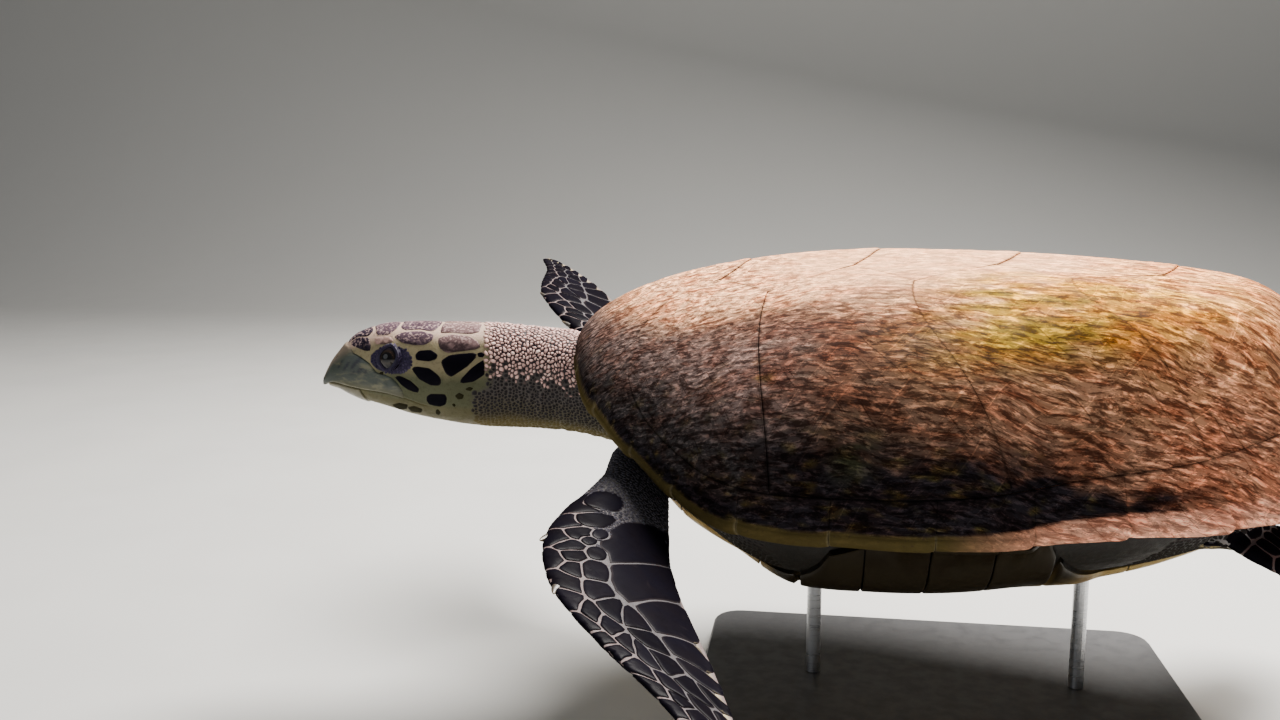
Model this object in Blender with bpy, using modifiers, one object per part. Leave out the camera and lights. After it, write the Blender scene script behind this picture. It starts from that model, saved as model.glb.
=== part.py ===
"""Hawksbill sea turtle in mid-stroke, life size, on a plain display stand.

Blender 4.5 script. Metres, +Z up. The head points to -X and the left side faces -Y.
The origin is the middle of the underside of the stand's base.

The animal is modelled in its own frame, the body frame: X from head to tail, Y to its
right, Z up, with the origin on the midline at the level of the shell's side rim. One
empty carries that frame, raised above the stand and banked a little to the left.
"""

import math

import bmesh
import bpy
import numpy as np

# ---- Driving sizes ----------------------------------------------------------------
SHELL_LENGTH = 0.72             # straight carapace length
BODY_HEIGHT = 0.27              # body frame's origin above the floor
BANK = math.radians(3.4)        # the left side is down
PITCH = math.radians(0.6)       # the head is up
GAP = 0.0004                    # half of the clearance between pieces that touch

# Shell, in the body frame. The outline and the rim's level are given at every 20 degrees
# from the front round to the tail, in shell lengths.
SHELL_CENTRE_X = -0.0545 * SHELL_LENGTH
KNOT_STEP = math.radians(20.0)
OUTLINE = (0.437, 0.427, 0.406, 0.414, 0.379, 0.361, 0.367, 0.426, 0.495, 0.543)
RIM_LEVEL = (0.098, 0.062, 0.014, -0.020, -0.026, -0.028, -0.020, -0.016, -0.011, -0.002)
DOME_TOP = 0.2254 * SHELL_LENGTH
KEEL_HEIGHT = 0.005
KEEL_WIDTH = 0.030
PLATE = 0.0032                  # thickness of the scutes
BED = 0.0032                    # space that the flat facets need under a scute
SEAM_GAP = 0.0010               # half of the space between two scutes
SEAM_GROOVE = 0.0009            # depth of the grooves between the marginals
RIM_END = 0.01                  # share of the first marginal that is left free beside the nuchal
RING_GAP = 0.0026               # space between the marginals and the scutes
# Where the marginals end on the dome: degrees from the front, degrees down from the top
RING_AT = np.radians([-18.0, 0.0, 18.0, 23.0, 27.0, 32.0, 38.0, 50.0, 75.0, 105.0, 135.0, 158.0, 180.0,
                      202.0])
RING_ETA = np.radians([49.0, 50.0, 49.0, 58.0, 65.0, 72.0, 77.0, 79.5, 80.5, 79.5, 77.0, 72.0, 67.0, 72.0])
# Seams between the marginals of one side, degrees from the front
NUCHAL_ANGLE = math.radians(13.0)
MARGINAL_SEAMS = np.radians([13.0, 25.0, 37.0, 49.0, 62.0, 75.5, 92.0, 108.5, 124.0, 138.5, 152.5, 166.0,
                             180.0])
PLASTRON_LEVEL = -0.150 * SHELL_LENGTH

# Head and neck, in the body frame
HEAD_LENGTH = 0.225 * SHELL_LENGTH
BEAK_X = -0.835 * SHELL_LENGTH
HEAD_LEVEL = 0.0365             # height of the beak's tip
HEAD_TURN = math.radians(14.0)  # the head looks a little to the left
BEND_START_X = -0.300
BEND_LENGTH = 0.140
EYE_RADIUS = 0.0125
EYE_AT = (0.415, 0.176, 0.152)  # back, out and up from the beak's tip, in head lengths

# Limbs
FLIPPER_LENGTH = 0.56 * SHELL_LENGTH
HIND_LENGTH = 0.27 * SHELL_LENGTH

# Stand
BASE_SIZE = (0.46, 0.32, 0.018)
BASE_CORNER = 0.030
ROD_RADIUS = 0.007
ROD_PLACES = (-0.120, 0.130)


# ---- Helpers ------------------------------------------------------------------------
def smooth(knots, values, at):
    """Values at the places in at, on a smooth curve through the knots (cubic Hermite)."""
    knots = np.asarray(knots, float)
    values = np.asarray(values, float)
    slope = np.gradient(values, knots)
    at = np.clip(np.asarray(at, float), knots[0], knots[-1])
    i = np.clip(np.searchsorted(knots, at) - 1, 0, len(knots) - 2)
    step = knots[i + 1] - knots[i]
    f = (at - knots[i]) / step
    return (
        values[i] * (1 + 2 * f) * (1 - f) ** 2
        + slope[i] * step * f * (1 - f) ** 2
        + values[i + 1] * f * f * (3 - 2 * f)
        + slope[i + 1] * step * f * f * (f - 1)
    )


def ease(share):
    """Rises from 0 to 1 with no corner."""
    share = np.clip(share, 0, 1)
    return share * share * (3 - 2 * share)


def material(name, colour, roughness, metallic=0.0):
    made = bpy.data.materials.get(name)
    if made is None:
        made = bpy.data.materials.new(name)
        made.use_nodes = True
        shader = made.node_tree.nodes["Principled BSDF"]
        shader.inputs["Base Color"].default_value = (*colour, 1.0)
        shader.inputs["Roughness"].default_value = roughness
        shader.inputs["Metallic"].default_value = metallic
        made.diffuse_color = (*colour, 1.0)
    return made


FINISHES = {
    "scute": ((0.22, 0.15, 0.10), 0.45),
    "marginal": ((0.27, 0.22, 0.11), 0.45),
    "plastron": ((0.72, 0.62, 0.38), 0.45),
    "skin": ((0.36, 0.33, 0.27), 0.60),
    "beak": ((0.48, 0.47, 0.30), 0.35),
    "eye": ((0.015, 0.012, 0.012), 0.08),
    "claw": ((0.30, 0.25, 0.17), 0.40),
    "base": ((0.035, 0.036, 0.040), 0.50),
    "steel": ((0.60, 0.61, 0.63), 0.28, 1.0),
}


def new_object(name, mesh, finish, collection, parent=None):
    mesh.materials.append(material(finish, *FINISHES[finish]))
    mesh.shade_smooth()
    mesh.set_sharp_from_angle(angle=math.radians(40.0))
    made = bpy.data.objects.new(name, mesh)
    made.parent = parent
    collection.objects.link(made)
    return made


def mesh_of(name, points, faces):
    mesh = bpy.data.meshes.new(name)
    mesh.from_pydata([tuple(p) for p in points], [], faces)
    mesh.validate()
    return mesh


def outward(mesh):
    """Turns the faces of a closed mesh outwards."""
    shape = bmesh.new()
    shape.from_mesh(mesh)
    bmesh.ops.recalc_face_normals(shape, faces=shape.faces)
    shape.to_mesh(mesh)
    shape.free()
    return mesh


def loft_mesh(name, rings, first=None, last=None):
    """Joins equal rings of points into one closed skin. Each end is flat, or comes to a point."""
    rings = np.asarray(rings, float)
    count, around = rings.shape[:2]
    faces = []
    for i in range(count - 1):
        a, b = i * around, (i + 1) * around
        for j in range(around):
            k = (j + 1) % around
            faces += [(a + j, a + k, b + k), (a + j, b + k, b + j)]
    points = rings.reshape(-1, 3)
    for start, tip in ((0, first), ((count - 1) * around, last)):
        ring = [start + j for j in range(around)]
        if tip is None:
            faces.append(ring)
        else:
            faces += [(a, b, len(points)) for a, b in zip(ring, ring[1:] + ring[:1])]
            points = np.vstack([points, tip])
    return outward(mesh_of(name, points, faces))


def sheet_mesh(name, grid):
    """An open sheet from a grid of points, facing up."""
    rows, columns = grid.shape[:2]
    faces = [
        (r * columns + c, r * columns + c + 1, (r + 1) * columns + c + 1, (r + 1) * columns + c)
        for r in range(rows - 1)
        for c in range(columns - 1)
    ]
    mesh = mesh_of(name, grid.reshape(-1, 3), faces)
    if sum(face.normal.z * face.area for face in mesh.polygons) < 0:
        mesh.flip_normals()
    return mesh


def thicken(obj, thickness, offset):
    wall = obj.modifiers.new("thickness", "SOLIDIFY")
    wall.thickness = thickness
    wall.offset = offset


def cutter(name, mesh, cutters, parent):
    made = bpy.data.objects.new(name, mesh)
    made.parent = parent
    made.display_type = "WIRE"
    made.hide_render = True
    cutters.objects.link(made)
    return made


def boolean(target, other, operation="DIFFERENCE"):
    made = target.modifiers.new(other.name, "BOOLEAN")
    made.operation = operation
    made.object = other
    made.solver = "EXACT"


# ---- The shell's form -----------------------------------------------------------------
def round_the_shell(values, angle):
    """Reads a list that holds one value for each 20 degrees from the front to the tail."""
    folded = np.abs((np.asarray(angle) + np.pi) % (2 * np.pi) - np.pi)
    knots = np.arange(-1, len(values) + 1) * KNOT_STEP
    return SHELL_LENGTH * smooth(knots, (values[1], *values, values[-2]), folded)


def ring_eta(angle):
    folded = np.abs((np.asarray(angle) + np.pi) % (2 * np.pi) - np.pi)
    return smooth(RING_AT, RING_ETA, folded)


def dome(angle, eta):
    """Point of the carapace's dome. Eta runs from 0 at the top to 90 degrees at the rim."""
    angle, eta = np.broadcast_arrays(np.asarray(angle, float), np.asarray(eta, float))
    back = ((1 - np.cos(angle)) / 2) ** 2
    reach = round_the_shell(OUTLINE, angle) * np.sin(eta)
    falling = ease((eta - math.radians(45.0)) / math.radians(35.0))
    level = np.clip(np.cos(eta), 0, 1) ** (1.06 - (0.77 - 0.60 * falling) * back)
    y = reach * np.sin(angle)
    rim = round_the_shell(RIM_LEVEL, angle)
    keel = KEEL_HEIGHT * np.exp(-((y / KEEL_WIDTH) ** 2)) * np.clip(np.cos(eta), 0, 1)
    z = rim + (DOME_TOP - rim) * level + keel
    return np.stack([SHELL_CENTRE_X - reach * np.cos(angle), y, z], axis=-1)


def dome_shifted(angle, eta, offset):
    """The dome moved along its own outward normal."""
    small = 1e-3
    angle, eta = np.broadcast_arrays(np.asarray(angle, float), np.asarray(eta, float))
    inside = np.clip(eta, small, math.pi / 2 - small)
    across = dome(angle + small, inside) - dome(angle - small, inside)
    down = dome(angle, inside + small) - dome(angle, inside - small)
    normal = np.cross(down, across)
    normal = normal / np.maximum(np.linalg.norm(normal, axis=-1, keepdims=True), 1e-12)
    normal = np.where(normal[..., 2:] < 0, -normal, normal)
    return dome(angle, eta) + normal * offset


def dome_at(plan, offset):
    """The dome over places in plan: distance from the front and sideways, in shell lengths."""
    x = (plan[..., 0] - 0.5) * SHELL_LENGTH - SHELL_CENTRE_X
    y = plan[..., 1] * SHELL_LENGTH
    angle = np.arctan2(y, -x)
    reach = np.hypot(x, y) / round_the_shell(OUTLINE, angle)
    return dome_shifted(angle, np.arcsin(np.clip(reach, 0.0, 1.0)), offset)


def ring_place(angle):
    """The plan places where the scutes end, just inside the marginals, in shell lengths."""
    edge = dome(angle, ring_eta(angle))
    place = np.stack([edge[..., 0] / SHELL_LENGTH + 0.5, edge[..., 1] / SHELL_LENGTH], axis=-1)
    inward = np.stack([np.cos(angle), -np.sin(angle)], axis=-1)
    return place + inward * RING_GAP / SHELL_LENGTH


def belly(angle, share):
    """Point of the underside. Share runs from 0 in the middle to 1 at the rim."""
    angle, share = np.broadcast_arrays(np.asarray(angle, float), np.asarray(share, float))
    reach = round_the_shell(OUTLINE, angle) * share
    level = np.clip(1 - (share / 0.90) ** 3.2, 0, 1) ** 0.62
    edge = round_the_shell(RIM_LEVEL, angle) - 0.010
    z = edge + (PLASTRON_LEVEL - edge) * level
    return np.stack([SHELL_CENTRE_X - reach * np.cos(angle), reach * np.sin(angle), z], axis=-1)


# ---- The plates' layout, in shell lengths from the front and sideways ------------------
# Seams between the vertebrals: distance at the middle, distance at the side, half width
VERTEBRAL_SEAMS = ((0.240, 0.205, 0.066), (0.405, 0.368, 0.072), (0.580, 0.542, 0.066), (0.770, 0.735, 0.062))
# Outer corners of vertebrals 2 to 5: distance, half width
VERTEBRAL_CORNERS = ((0.268, 0.130), (0.440, 0.135), (0.622, 0.114), (0.838, 0.155))
# Where the costals' seams reach the marginals, degrees from the front, and how far forward they bow
COSTAL_ANGLES = np.radians([17.0, 66.5, 104.5, 137.0, 158.0])
COSTAL_BOWS = (0.0, 0.012, 0.034, 0.038, 0.0)


def polyline(corners, at):
    """Places along a line of corners, at shares of its length."""
    corners = np.asarray(corners, float)
    run = np.concatenate([[0], np.cumsum(np.linalg.norm(np.diff(corners, axis=0), axis=1))])
    return np.stack([np.interp(at * run[-1], run, corners[:, k]) for k in range(2)], axis=-1)


def coons(front, rear, inner, outer, u, v):
    """A patch between four lines. U runs from the front to the rear, v from inner to outer."""
    u, v = u[:, None, None], v[None, :, None]
    sides = (1 - u) * front[None] + u * rear[None] + (1 - v) * inner[:, None] + v * outer[:, None]
    corners = (
        (1 - u) * (1 - v) * front[0]
        + (1 - u) * v * front[-1]
        + u * (1 - v) * rear[0]
        + u * v * rear[-1]
    )
    return sides - corners


def inset(count, size):
    """Shares along a plate's side that leave half of the clearance at each end."""
    edge = SEAM_GAP / size
    return np.linspace(edge, 1 - edge, count)


def vertebral_plan(index, rows=7, columns=7):
    """Plan of vertebral 0 to 4, from its left edge to its right edge."""
    u = inset(rows, 0.16 * SHELL_LENGTH)
    v = inset(columns, (0.22 if index else 0.06) * SHELL_LENGTH)
    ends = []
    for seam in (index - 1, index):
        if 0 <= seam < len(VERTEBRAL_SEAMS):
            middle, side, half = VERTEBRAL_SEAMS[seam]
            ends.append(polyline([(side, -half), (middle, 0), (side, half)], v))
        elif seam < 0:
            ends.append(ring_place((2 * v - 1) * COSTAL_ANGLES[0]))
        else:
            ends.append(ring_place(math.pi - (2 * v - 1) * (math.pi - COSTAL_ANGLES[-1])))
    first = ring_place(COSTAL_ANGLES[0]) if index == 0 else np.array(VERTEBRAL_SEAMS[index - 1][1:])
    last = ring_place(COSTAL_ANGLES[-1]) if index == 4 else np.array(VERTEBRAL_SEAMS[index][1:])
    corners = [first, last] if index == 0 else [first, VERTEBRAL_CORNERS[index - 1], last]
    right = polyline(corners, u)
    return coons(ends[0], ends[1], right * (1, -1), right, u, v)


def costal_seam(index, v):
    """The seam in front of a costal, from the vertebrals out to the marginals."""
    if index == 0:
        return ring_place(COSTAL_ANGLES[0] + math.radians(6.0) * v)
    inner, outer = np.array(VERTEBRAL_CORNERS[index - 1]), ring_place(COSTAL_ANGLES[index])
    line = inner + (outer - inner) * v[:, None]
    line[:, 0] -= COSTAL_BOWS[index] * 4 * v * (1 - v)
    return line


def costal_plan(index, rows=7, columns=7):
    """Plan of costal 0 to 3 of the right side, from the vertebrals out to the marginals."""
    u = inset(rows, 0.2 * SHELL_LENGTH)
    # The columns lie closer together where the dome is steep.
    v = 1 - (1 - inset(columns, (0.25 if index else 0.045) * SHELL_LENGTH)) ** 1.8
    side = VERTEBRAL_SEAMS[index][1:]
    first = ring_place(COSTAL_ANGLES[0]) if index == 0 else VERTEBRAL_CORNERS[index - 1]
    inner = polyline([first, side, VERTEBRAL_CORNERS[index]], u)
    start = COSTAL_ANGLES[index] + (math.radians(6.0) if index == 0 else 0.0)
    outer = ring_place(start + (COSTAL_ANGLES[index + 1] - start) * u)
    return coons(costal_seam(index, v), costal_seam(index + 1, v), inner, outer, u, v)


# ---- Shell pieces -----------------------------------------------------------------------
def plate(name, plan, collection, parent):
    """A scute: an open sheet over the dome, thickened inwards."""
    made = new_object(name, sheet_mesh(name, dome_at(plan, 0.0)), "scute", collection, parent)
    thicken(made, PLATE, -1.0)
    return made


def rim_section(angle, groove=0.0, tooth=0.0, grow=0.0):
    """One section of the rim: over its outer face, round the edge and back inside."""
    etas = np.linspace(ring_eta(angle), math.radians(89.5), 5)
    away = np.array([-math.cos(angle), math.sin(angle), 0.0])
    face = dome_shifted(angle, etas, grow - groove)
    face = face + np.outer(np.linspace(0, 1, len(etas)) ** 2, away) * (tooth + grow)
    profile = ((0.001 - grow, -0.005), (-0.005 - grow, -0.0115), (-0.026 - 3 * grow, -0.0095))
    under = [face[-1] + away * out + (0, 0, down - grow) for out, down in profile]
    inner = dome_shifted(angle, etas[[2, 0]], -PLATE - grow) - away * grow
    inner[0] -= away * 0.003
    return np.vstack([face, under, inner])


def rim_mesh(name, side, stations, grow):
    """A stretch of the rim, from stations of angle, groove and tooth. Grow moves the whole
    surface outwards and passes both ends, for a cutter with no grooves."""
    if grow:
        ahead, behind = stations[0], stations[-1]
        passing = 3 * grow / (0.30 * SHELL_LENGTH)
        stations = [(ahead[0] - passing, *ahead[1:]), *stations, (behind[0] + passing, *behind[1:])]
    sections = []
    for angle, deep, tooth in stations:
        sections.append(rim_section(side * angle, 0.0 if grow else deep, tooth, grow))
    return loft_mesh(name, sections)


def marginals_mesh(name, side, grow=0.0):
    """All the marginals of one side, joined, with a groove at each seam and toothed at the rear."""
    stations = []
    for index, (start, end) in enumerate(zip(MARGINAL_SEAMS[:-1], MARGINAL_SEAMS[1:])):
        toothed = 0.003 + 0.004 * ease((index - 5.0) / 4.0)
        first = RIM_END if index == 0 else 0.0
        for share, deep, tooth in ((first, SEAM_GROOVE, -0.6), (0.15, 0.0, 0.1), (0.85, 0.0, 1.0)):
            stations.append((start + (end - start) * share, deep, tooth * toothed))
    stations.append((math.pi - 0.003, SEAM_GROOVE, -0.003))
    return rim_mesh(name, side, stations, grow)


def nuchal_mesh(name, grow=0.0):
    stations = [(NUCHAL_ANGLE * share, 0.0, 0.0) for share in (-0.99, -0.5, 0.0, 0.5, 0.99)]
    return rim_mesh(name, 1, stations, grow)


def trunk_mesh(name, grow):
    """The body inside the shell. Grow moves the whole surface outwards, for a cutter."""
    around = np.linspace(-math.pi, math.pi, 36, endpoint=False)
    sink = grow - PLATE - BED
    rings = [dome_shifted(around, math.radians(eta), sink) for eta in (12.0, 26.0, 40.0, 53.0, 65.0)]
    away = np.stack([-np.cos(around), np.sin(around), 0 * around], axis=-1)
    wall = dome(around, math.pi / 2) - away * (0.030 + BED - grow)
    rings += [wall + (0, 0, 0.018), wall + (0, 0, -0.006)]
    rings += [belly(around, share) - (0, 0, grow) for share in (0.84, 0.74, 0.60, 0.40, 0.20)]
    return loft_mesh(name, rings, dome_shifted(0.0, 0.0, sink), belly(0.0, 0.0) - (0, 0, grow))


# Half width of the plastron at distances from the front, in shell lengths
PLASTRON_AT = (0.100, 0.120, 0.17, 0.24, 0.30, 0.35, 0.45, 0.56, 0.61, 0.67, 0.75, 0.83, 0.88, 0.905)
PLASTRON_HALF = (0.020, 0.075, 0.130, 0.160, 0.225, 0.295, 0.312, 0.300, 0.225, 0.160, 0.125, 0.088, 0.050,
                 0.012)
PLASTRON_PLATE = 0.005
PLASTRON_BED = 0.0060           # space between the belly and the plastron


def plastron_mesh(name, grow, wide):
    """The sheet of the plastron, a little under the belly."""
    t = np.array(PLASTRON_AT)[:, None]
    share = np.sin(np.linspace(-1, 1, 9) * math.pi / 2)[None]
    x = (t - 0.5) * SHELL_LENGTH + 0 * share - SHELL_CENTRE_X
    y = (np.array(PLASTRON_HALF)[:, None] * SHELL_LENGTH + wide) * share
    angle = np.arctan2(y, -x)
    grid = belly(angle, np.hypot(x, y) / round_the_shell(OUTLINE, angle))
    return sheet_mesh(name, grid - (0, 0, PLASTRON_BED - grow))


def plastron(name, collection, parent):
    made = new_object(name, plastron_mesh(name, 0.0, 0.0), "plastron", collection, parent)
    thicken(made, PLASTRON_PLATE, -1.0)
    return made


# ---- Head and neck ----------------------------------------------------------------------
# Sections from the beak's tip back, in head lengths: distance, top, bottom, half width
HEAD_AT = (0.0, 0.04, 0.09, 0.135, 0.19, 0.27, 0.36, 0.50, 0.70, 0.96, 1.05)
HEAD_TOP = (0.020, 0.098, 0.165, 0.220, 0.268, 0.305, 0.329, 0.338, 0.335, 0.326, 0.322)
HEAD_BOTTOM = (-0.025, -0.040, -0.055, -0.082, -0.110, -0.140, -0.168, -0.216, -0.266, -0.309, -0.316)
HEAD_HALF = (0.022, 0.062, 0.095, 0.120, 0.148, 0.184, 0.216, 0.246, 0.268, 0.264, 0.262)
NECK_AT = (1.05, 1.30, 1.50, 1.70, 2.05)
NECK_TOP = (0.322, 0.296, 0.272, 0.215, 0.150)
NECK_BOTTOM = (-0.316, -0.328, -0.345, -0.385, -0.440)
NECK_HALF = (0.262, 0.272, 0.300, 0.345, 0.420)
# The mouth's line and the beak's rear edge in side view: back and up, in head lengths
MOUTH = ((-0.12, -0.016), (0.354, -0.074), (0.61, -0.152))
BEAK_EDGE = ((0.125, 0.40), (0.125, 0.19), (0.345, -0.06))
LOWER_BEAK_BACK = 0.27
CHIN_LEVEL = -0.074             # the mouth's height behind the lower beak, in head lengths
BEAK_TIP = (-0.012, 0.0, -0.022)
HEAD_SQUARENESS = 2.3           # 2 gives an ellipse, more a rounded box
NECK_SQUARENESS = 2.1


def bend(points):
    """Bends the straight neck to the left. The head in front of the bend stays rigid."""
    points = np.asarray(points, float)
    ahead = np.maximum(BEND_START_X - points[..., 0], 0.0)
    along = np.minimum(ahead, BEND_LENGTH)
    turn = HEAD_TURN * along / BEND_LENGTH
    rest = ahead - along
    radius = BEND_LENGTH / HEAD_TURN
    spine_x = radius * np.sin(turn) + rest * math.cos(HEAD_TURN)
    spine_y = radius * (1 - np.cos(turn)) + rest * math.sin(HEAD_TURN)
    x = np.where(ahead > 0, BEND_START_X - spine_x - points[..., 1] * np.sin(turn), points[..., 0])
    return np.stack([x, points[..., 1] * np.cos(turn) - spine_y, points[..., 2]], axis=-1)


def head_point(back, out, up):
    """A place given in head lengths from the beak's tip, in the body frame."""
    straight = np.stack(np.broadcast_arrays(back, out, up), axis=-1) * HEAD_LENGTH + (BEAK_X, 0, HEAD_LEVEL)
    return bend(straight)


def head_section(at, square, table, around=18):
    """One section: a rounded box, a little narrower below."""
    stations, top, bottom, half = table
    turn = np.linspace(0, 2 * math.pi, around, endpoint=False)
    side = np.sign(np.sin(turn)) * np.abs(np.sin(turn)) ** (2 / square)
    rise = np.sign(np.cos(turn)) * np.abs(np.cos(turn)) ** (2 / square)
    y = smooth(stations, half, at) * side * (1 + 0.12 * np.minimum(rise, 0))
    z = np.where(rise > 0, rise * smooth(stations, top, at), -rise * smooth(stations, bottom, at))
    return head_point(at, y, z)


def head_mesh(name):
    table = (HEAD_AT, HEAD_TOP, HEAD_BOTTOM, HEAD_HALF)
    stations = (0.004, 0.025, 0.06, 0.11, 0.17, 0.25, 0.34, 0.44, 0.55, 0.67, 0.80, 0.92, 1.045)
    sections = [head_section(at, HEAD_SQUARENESS, table) for at in stations]
    return loft_mesh(name, sections, first=head_point(*BEAK_TIP))


def neck(collection, parent):
    table = (NECK_AT, NECK_TOP, NECK_BOTTOM, NECK_HALF)
    stations = np.array([1.045 + 2 * GAP / HEAD_LENGTH, 1.17, 1.32, 1.48, 1.66, 1.86])
    mesh = loft_mesh("neck", [head_section(at, NECK_SQUARENESS, table) for at in stations])
    return new_object("neck", mesh, "skin", collection, parent)


def prism(name, outline, cutters, parent):
    """A cutter right through the head, from its outline in side view."""
    outline = np.asarray(outline, float)
    sides = [head_point(outline[:, 0], out, outline[:, 1]) for out in (-0.5, 0.5)]
    return cutter(name, loft_mesh(name, sides), cutters, parent)


def ball_mesh(name, centre, radius):
    shape = bmesh.new()
    bmesh.ops.create_uvsphere(shape, u_segments=14, v_segments=8, radius=radius)
    bmesh.ops.translate(shape, verts=shape.verts, vec=centre)
    mesh = bpy.data.meshes.new(name)
    shape.to_mesh(mesh)
    shape.free()
    return mesh


def head_pieces(collection, cutters, parent):
    """The head, parted along the mouth and round the horn of the beak, with its eyes."""
    cut = 2 * GAP / HEAD_LENGTH
    mouth, edge = np.array(MOUTH), np.array(BEAK_EDGE)
    floor, front = -0.5, -0.12
    jaw_region = [*mouth, (0.66, floor), (front, floor)]
    jaw_inner = [*(mouth - (cut, cut)), (0.66 - cut, floor), (front, floor)]
    horn_region = [(front, 0.40), *edge, (0.345, -0.5), (front, -0.5)]
    horn_inner = [(front, 0.40), *(edge - (cut, 0)), (edge[-1][0] - cut, mouth[1][1] + cut / 2), mouth[0]]
    chin_back = LOWER_BEAK_BACK - cut
    chin_inner = [*(mouth[:1] - (0, cut)), (chin_back, CHIN_LEVEL), (chin_back, floor), (front, floor)]
    chin_region = [(front, 0.1), (LOWER_BEAK_BACK, 0.1), (LOWER_BEAK_BACK, floor), (front, floor)]

    head = new_object("head", head_mesh("head"), "skin", collection, parent)
    boolean(head, prism("jaw_region", jaw_region, cutters, parent))
    boolean(head, prism("horn_region", horn_region, cutters, parent))
    jaw = new_object("jaw_lower", head_mesh("jaw_lower"), "skin", collection, parent)
    boolean(jaw, prism("jaw_inner", jaw_inner, cutters, parent), "INTERSECT")
    boolean(jaw, prism("chin_region", chin_region, cutters, parent))
    horn = new_object("beak_upper", head_mesh("beak_upper"), "beak", collection, parent)
    boolean(horn, prism("horn_inner", horn_inner, cutters, parent), "INTERSECT")
    chin = new_object("beak_lower", head_mesh("beak_lower"), "beak", collection, parent)
    boolean(chin, prism("chin_inner", chin_inner, cutters, parent), "INTERSECT")

    for side, word in ((-1, "left"), (1, "right")):
        back, out, up = EYE_AT
        centre = head_point(back, side * out, up)
        name = f"socket_{word}"
        boolean(head, cutter(name, ball_mesh(name, centre, EYE_RADIUS + GAP), cutters, parent))
        new_object(f"eye_{word}", ball_mesh(f"eye_{word}", centre, EYE_RADIUS), "eye", collection, parent)


# ---- Flippers ---------------------------------------------------------------------------
# A flipper in its own flat frame, in its own lengths: span, leading and trailing edge, half thickness
FORE_BLADE = (
    (0.0, 0.12, 0.25, 0.38, 0.50, 0.62, 0.74, 0.85, 0.93, 0.98, 1.0),
    (-0.100, -0.122, -0.149, -0.163, -0.150, -0.108, -0.016, 0.085, 0.136, 0.168, 0.190),
    (0.055, 0.066, 0.075, 0.098, 0.131, 0.164, 0.190, 0.208, 0.215, 0.213, 0.203),
    (0.062, 0.052, 0.040, 0.032, 0.025, 0.019, 0.015, 0.011, 0.008, 0.006, 0.004),
)
HIND_BLADE = (
    (0.0, 0.15, 0.35, 0.55, 0.75, 0.90, 0.97, 1.0),
    (-0.150, -0.150, -0.175, -0.215, -0.235, -0.180, -0.095, -0.020),
    (0.150, 0.160, 0.210, 0.270, 0.270, 0.190, 0.095, 0.020),
    (0.085, 0.075, 0.055, 0.040, 0.028, 0.020, 0.015, 0.010),
)
FORE_ROOT = (-0.264, 0.155, -0.032)
HIND_ROOT = (0.205, 0.095, -0.045)
# Twist, droop and sweep in degrees, and the bow down to the tip in flipper lengths
FORE_POSES = {-1: (-23.0, 4.0, 3.0, -0.10), 1: (-10.0, -30.0, -46.0, 0.19)}
HIND_POSES = {-1: (8.0, 10.0, 52.0, 0.05), 1: (8.0, 6.0, 60.0, 0.05)}


def blade_mesh(name, blade, length, side, bow, stations, around=12):
    """A flat tapering limb. Its sections are lens shapes, thickest near the leading edge."""
    span, lead, trail, thick = blade
    turn = np.linspace(0, 2 * math.pi, around, endpoint=False)
    c, s = np.cos(turn), np.sin(turn)
    rings = []
    for at in stations:
        front, rear = smooth(span, lead, at), smooth(span, trail, at)
        y = (front + rear) / 2 + (rear - front) / 2 * c
        z = smooth(span, thick, at) * s * (0.66 - 0.34 * c) - bow * at * at
        rings.append(np.stack([0 * y + at, -side * y, z], axis=-1) * length)
    tip = np.array([1.0, -side * (lead[-1] + trail[-1]) / 2, -bow]) * length
    return loft_mesh(name, rings, last=tip)


def place_limb(obj, side, root, pose):
    """Puts a limb at its root, on the left (-1) or the right (1), and turns it."""
    twist, droop, sweep = (math.radians(value) for value in pose[:3])
    obj.location = (root[0], side * root[1], root[2])
    obj.rotation_euler = (-side * twist, droop, side * (math.pi / 2 - sweep))


def flipper(name, side, fore, collection, parent):
    if fore:
        blade, length, root, pose = FORE_BLADE, FLIPPER_LENGTH, FORE_ROOT, FORE_POSES[side]
        stations = (0.0, 0.08, 0.16, 0.25, 0.34, 0.42, 0.50, 0.58, 0.66, 0.74, 0.82, 0.89, 0.95, 0.985)
    else:
        blade, length, root, pose = HIND_BLADE, HIND_LENGTH, HIND_ROOT, HIND_POSES[side]
        stations = (0.0, 0.15, 0.30, 0.45, 0.60, 0.75, 0.87, 0.95, 0.985)
    mesh = blade_mesh(name, blade, length, side, pose[3], stations)
    made = new_object(name, mesh, "skin", collection, parent)
    place_limb(made, side, root, pose)
    return made


# Claws on the leading edge, from the body out: span, length and radius of the base
FORE_CLAWS = ((0.40, 0.0070, 0.0032), (0.60, 0.0060, 0.0026))
HIND_CLAWS = ((0.55, 0.0060, 0.0026), (0.74, 0.0050, 0.0022))
CLAW_SLANT = math.radians(30.0)
CLAW_TIP = 0.0006               # radius of a claw's blunt end
CLAW_SINK = 0.0012              # how far a claw's base is moved in towards its flipper


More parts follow.
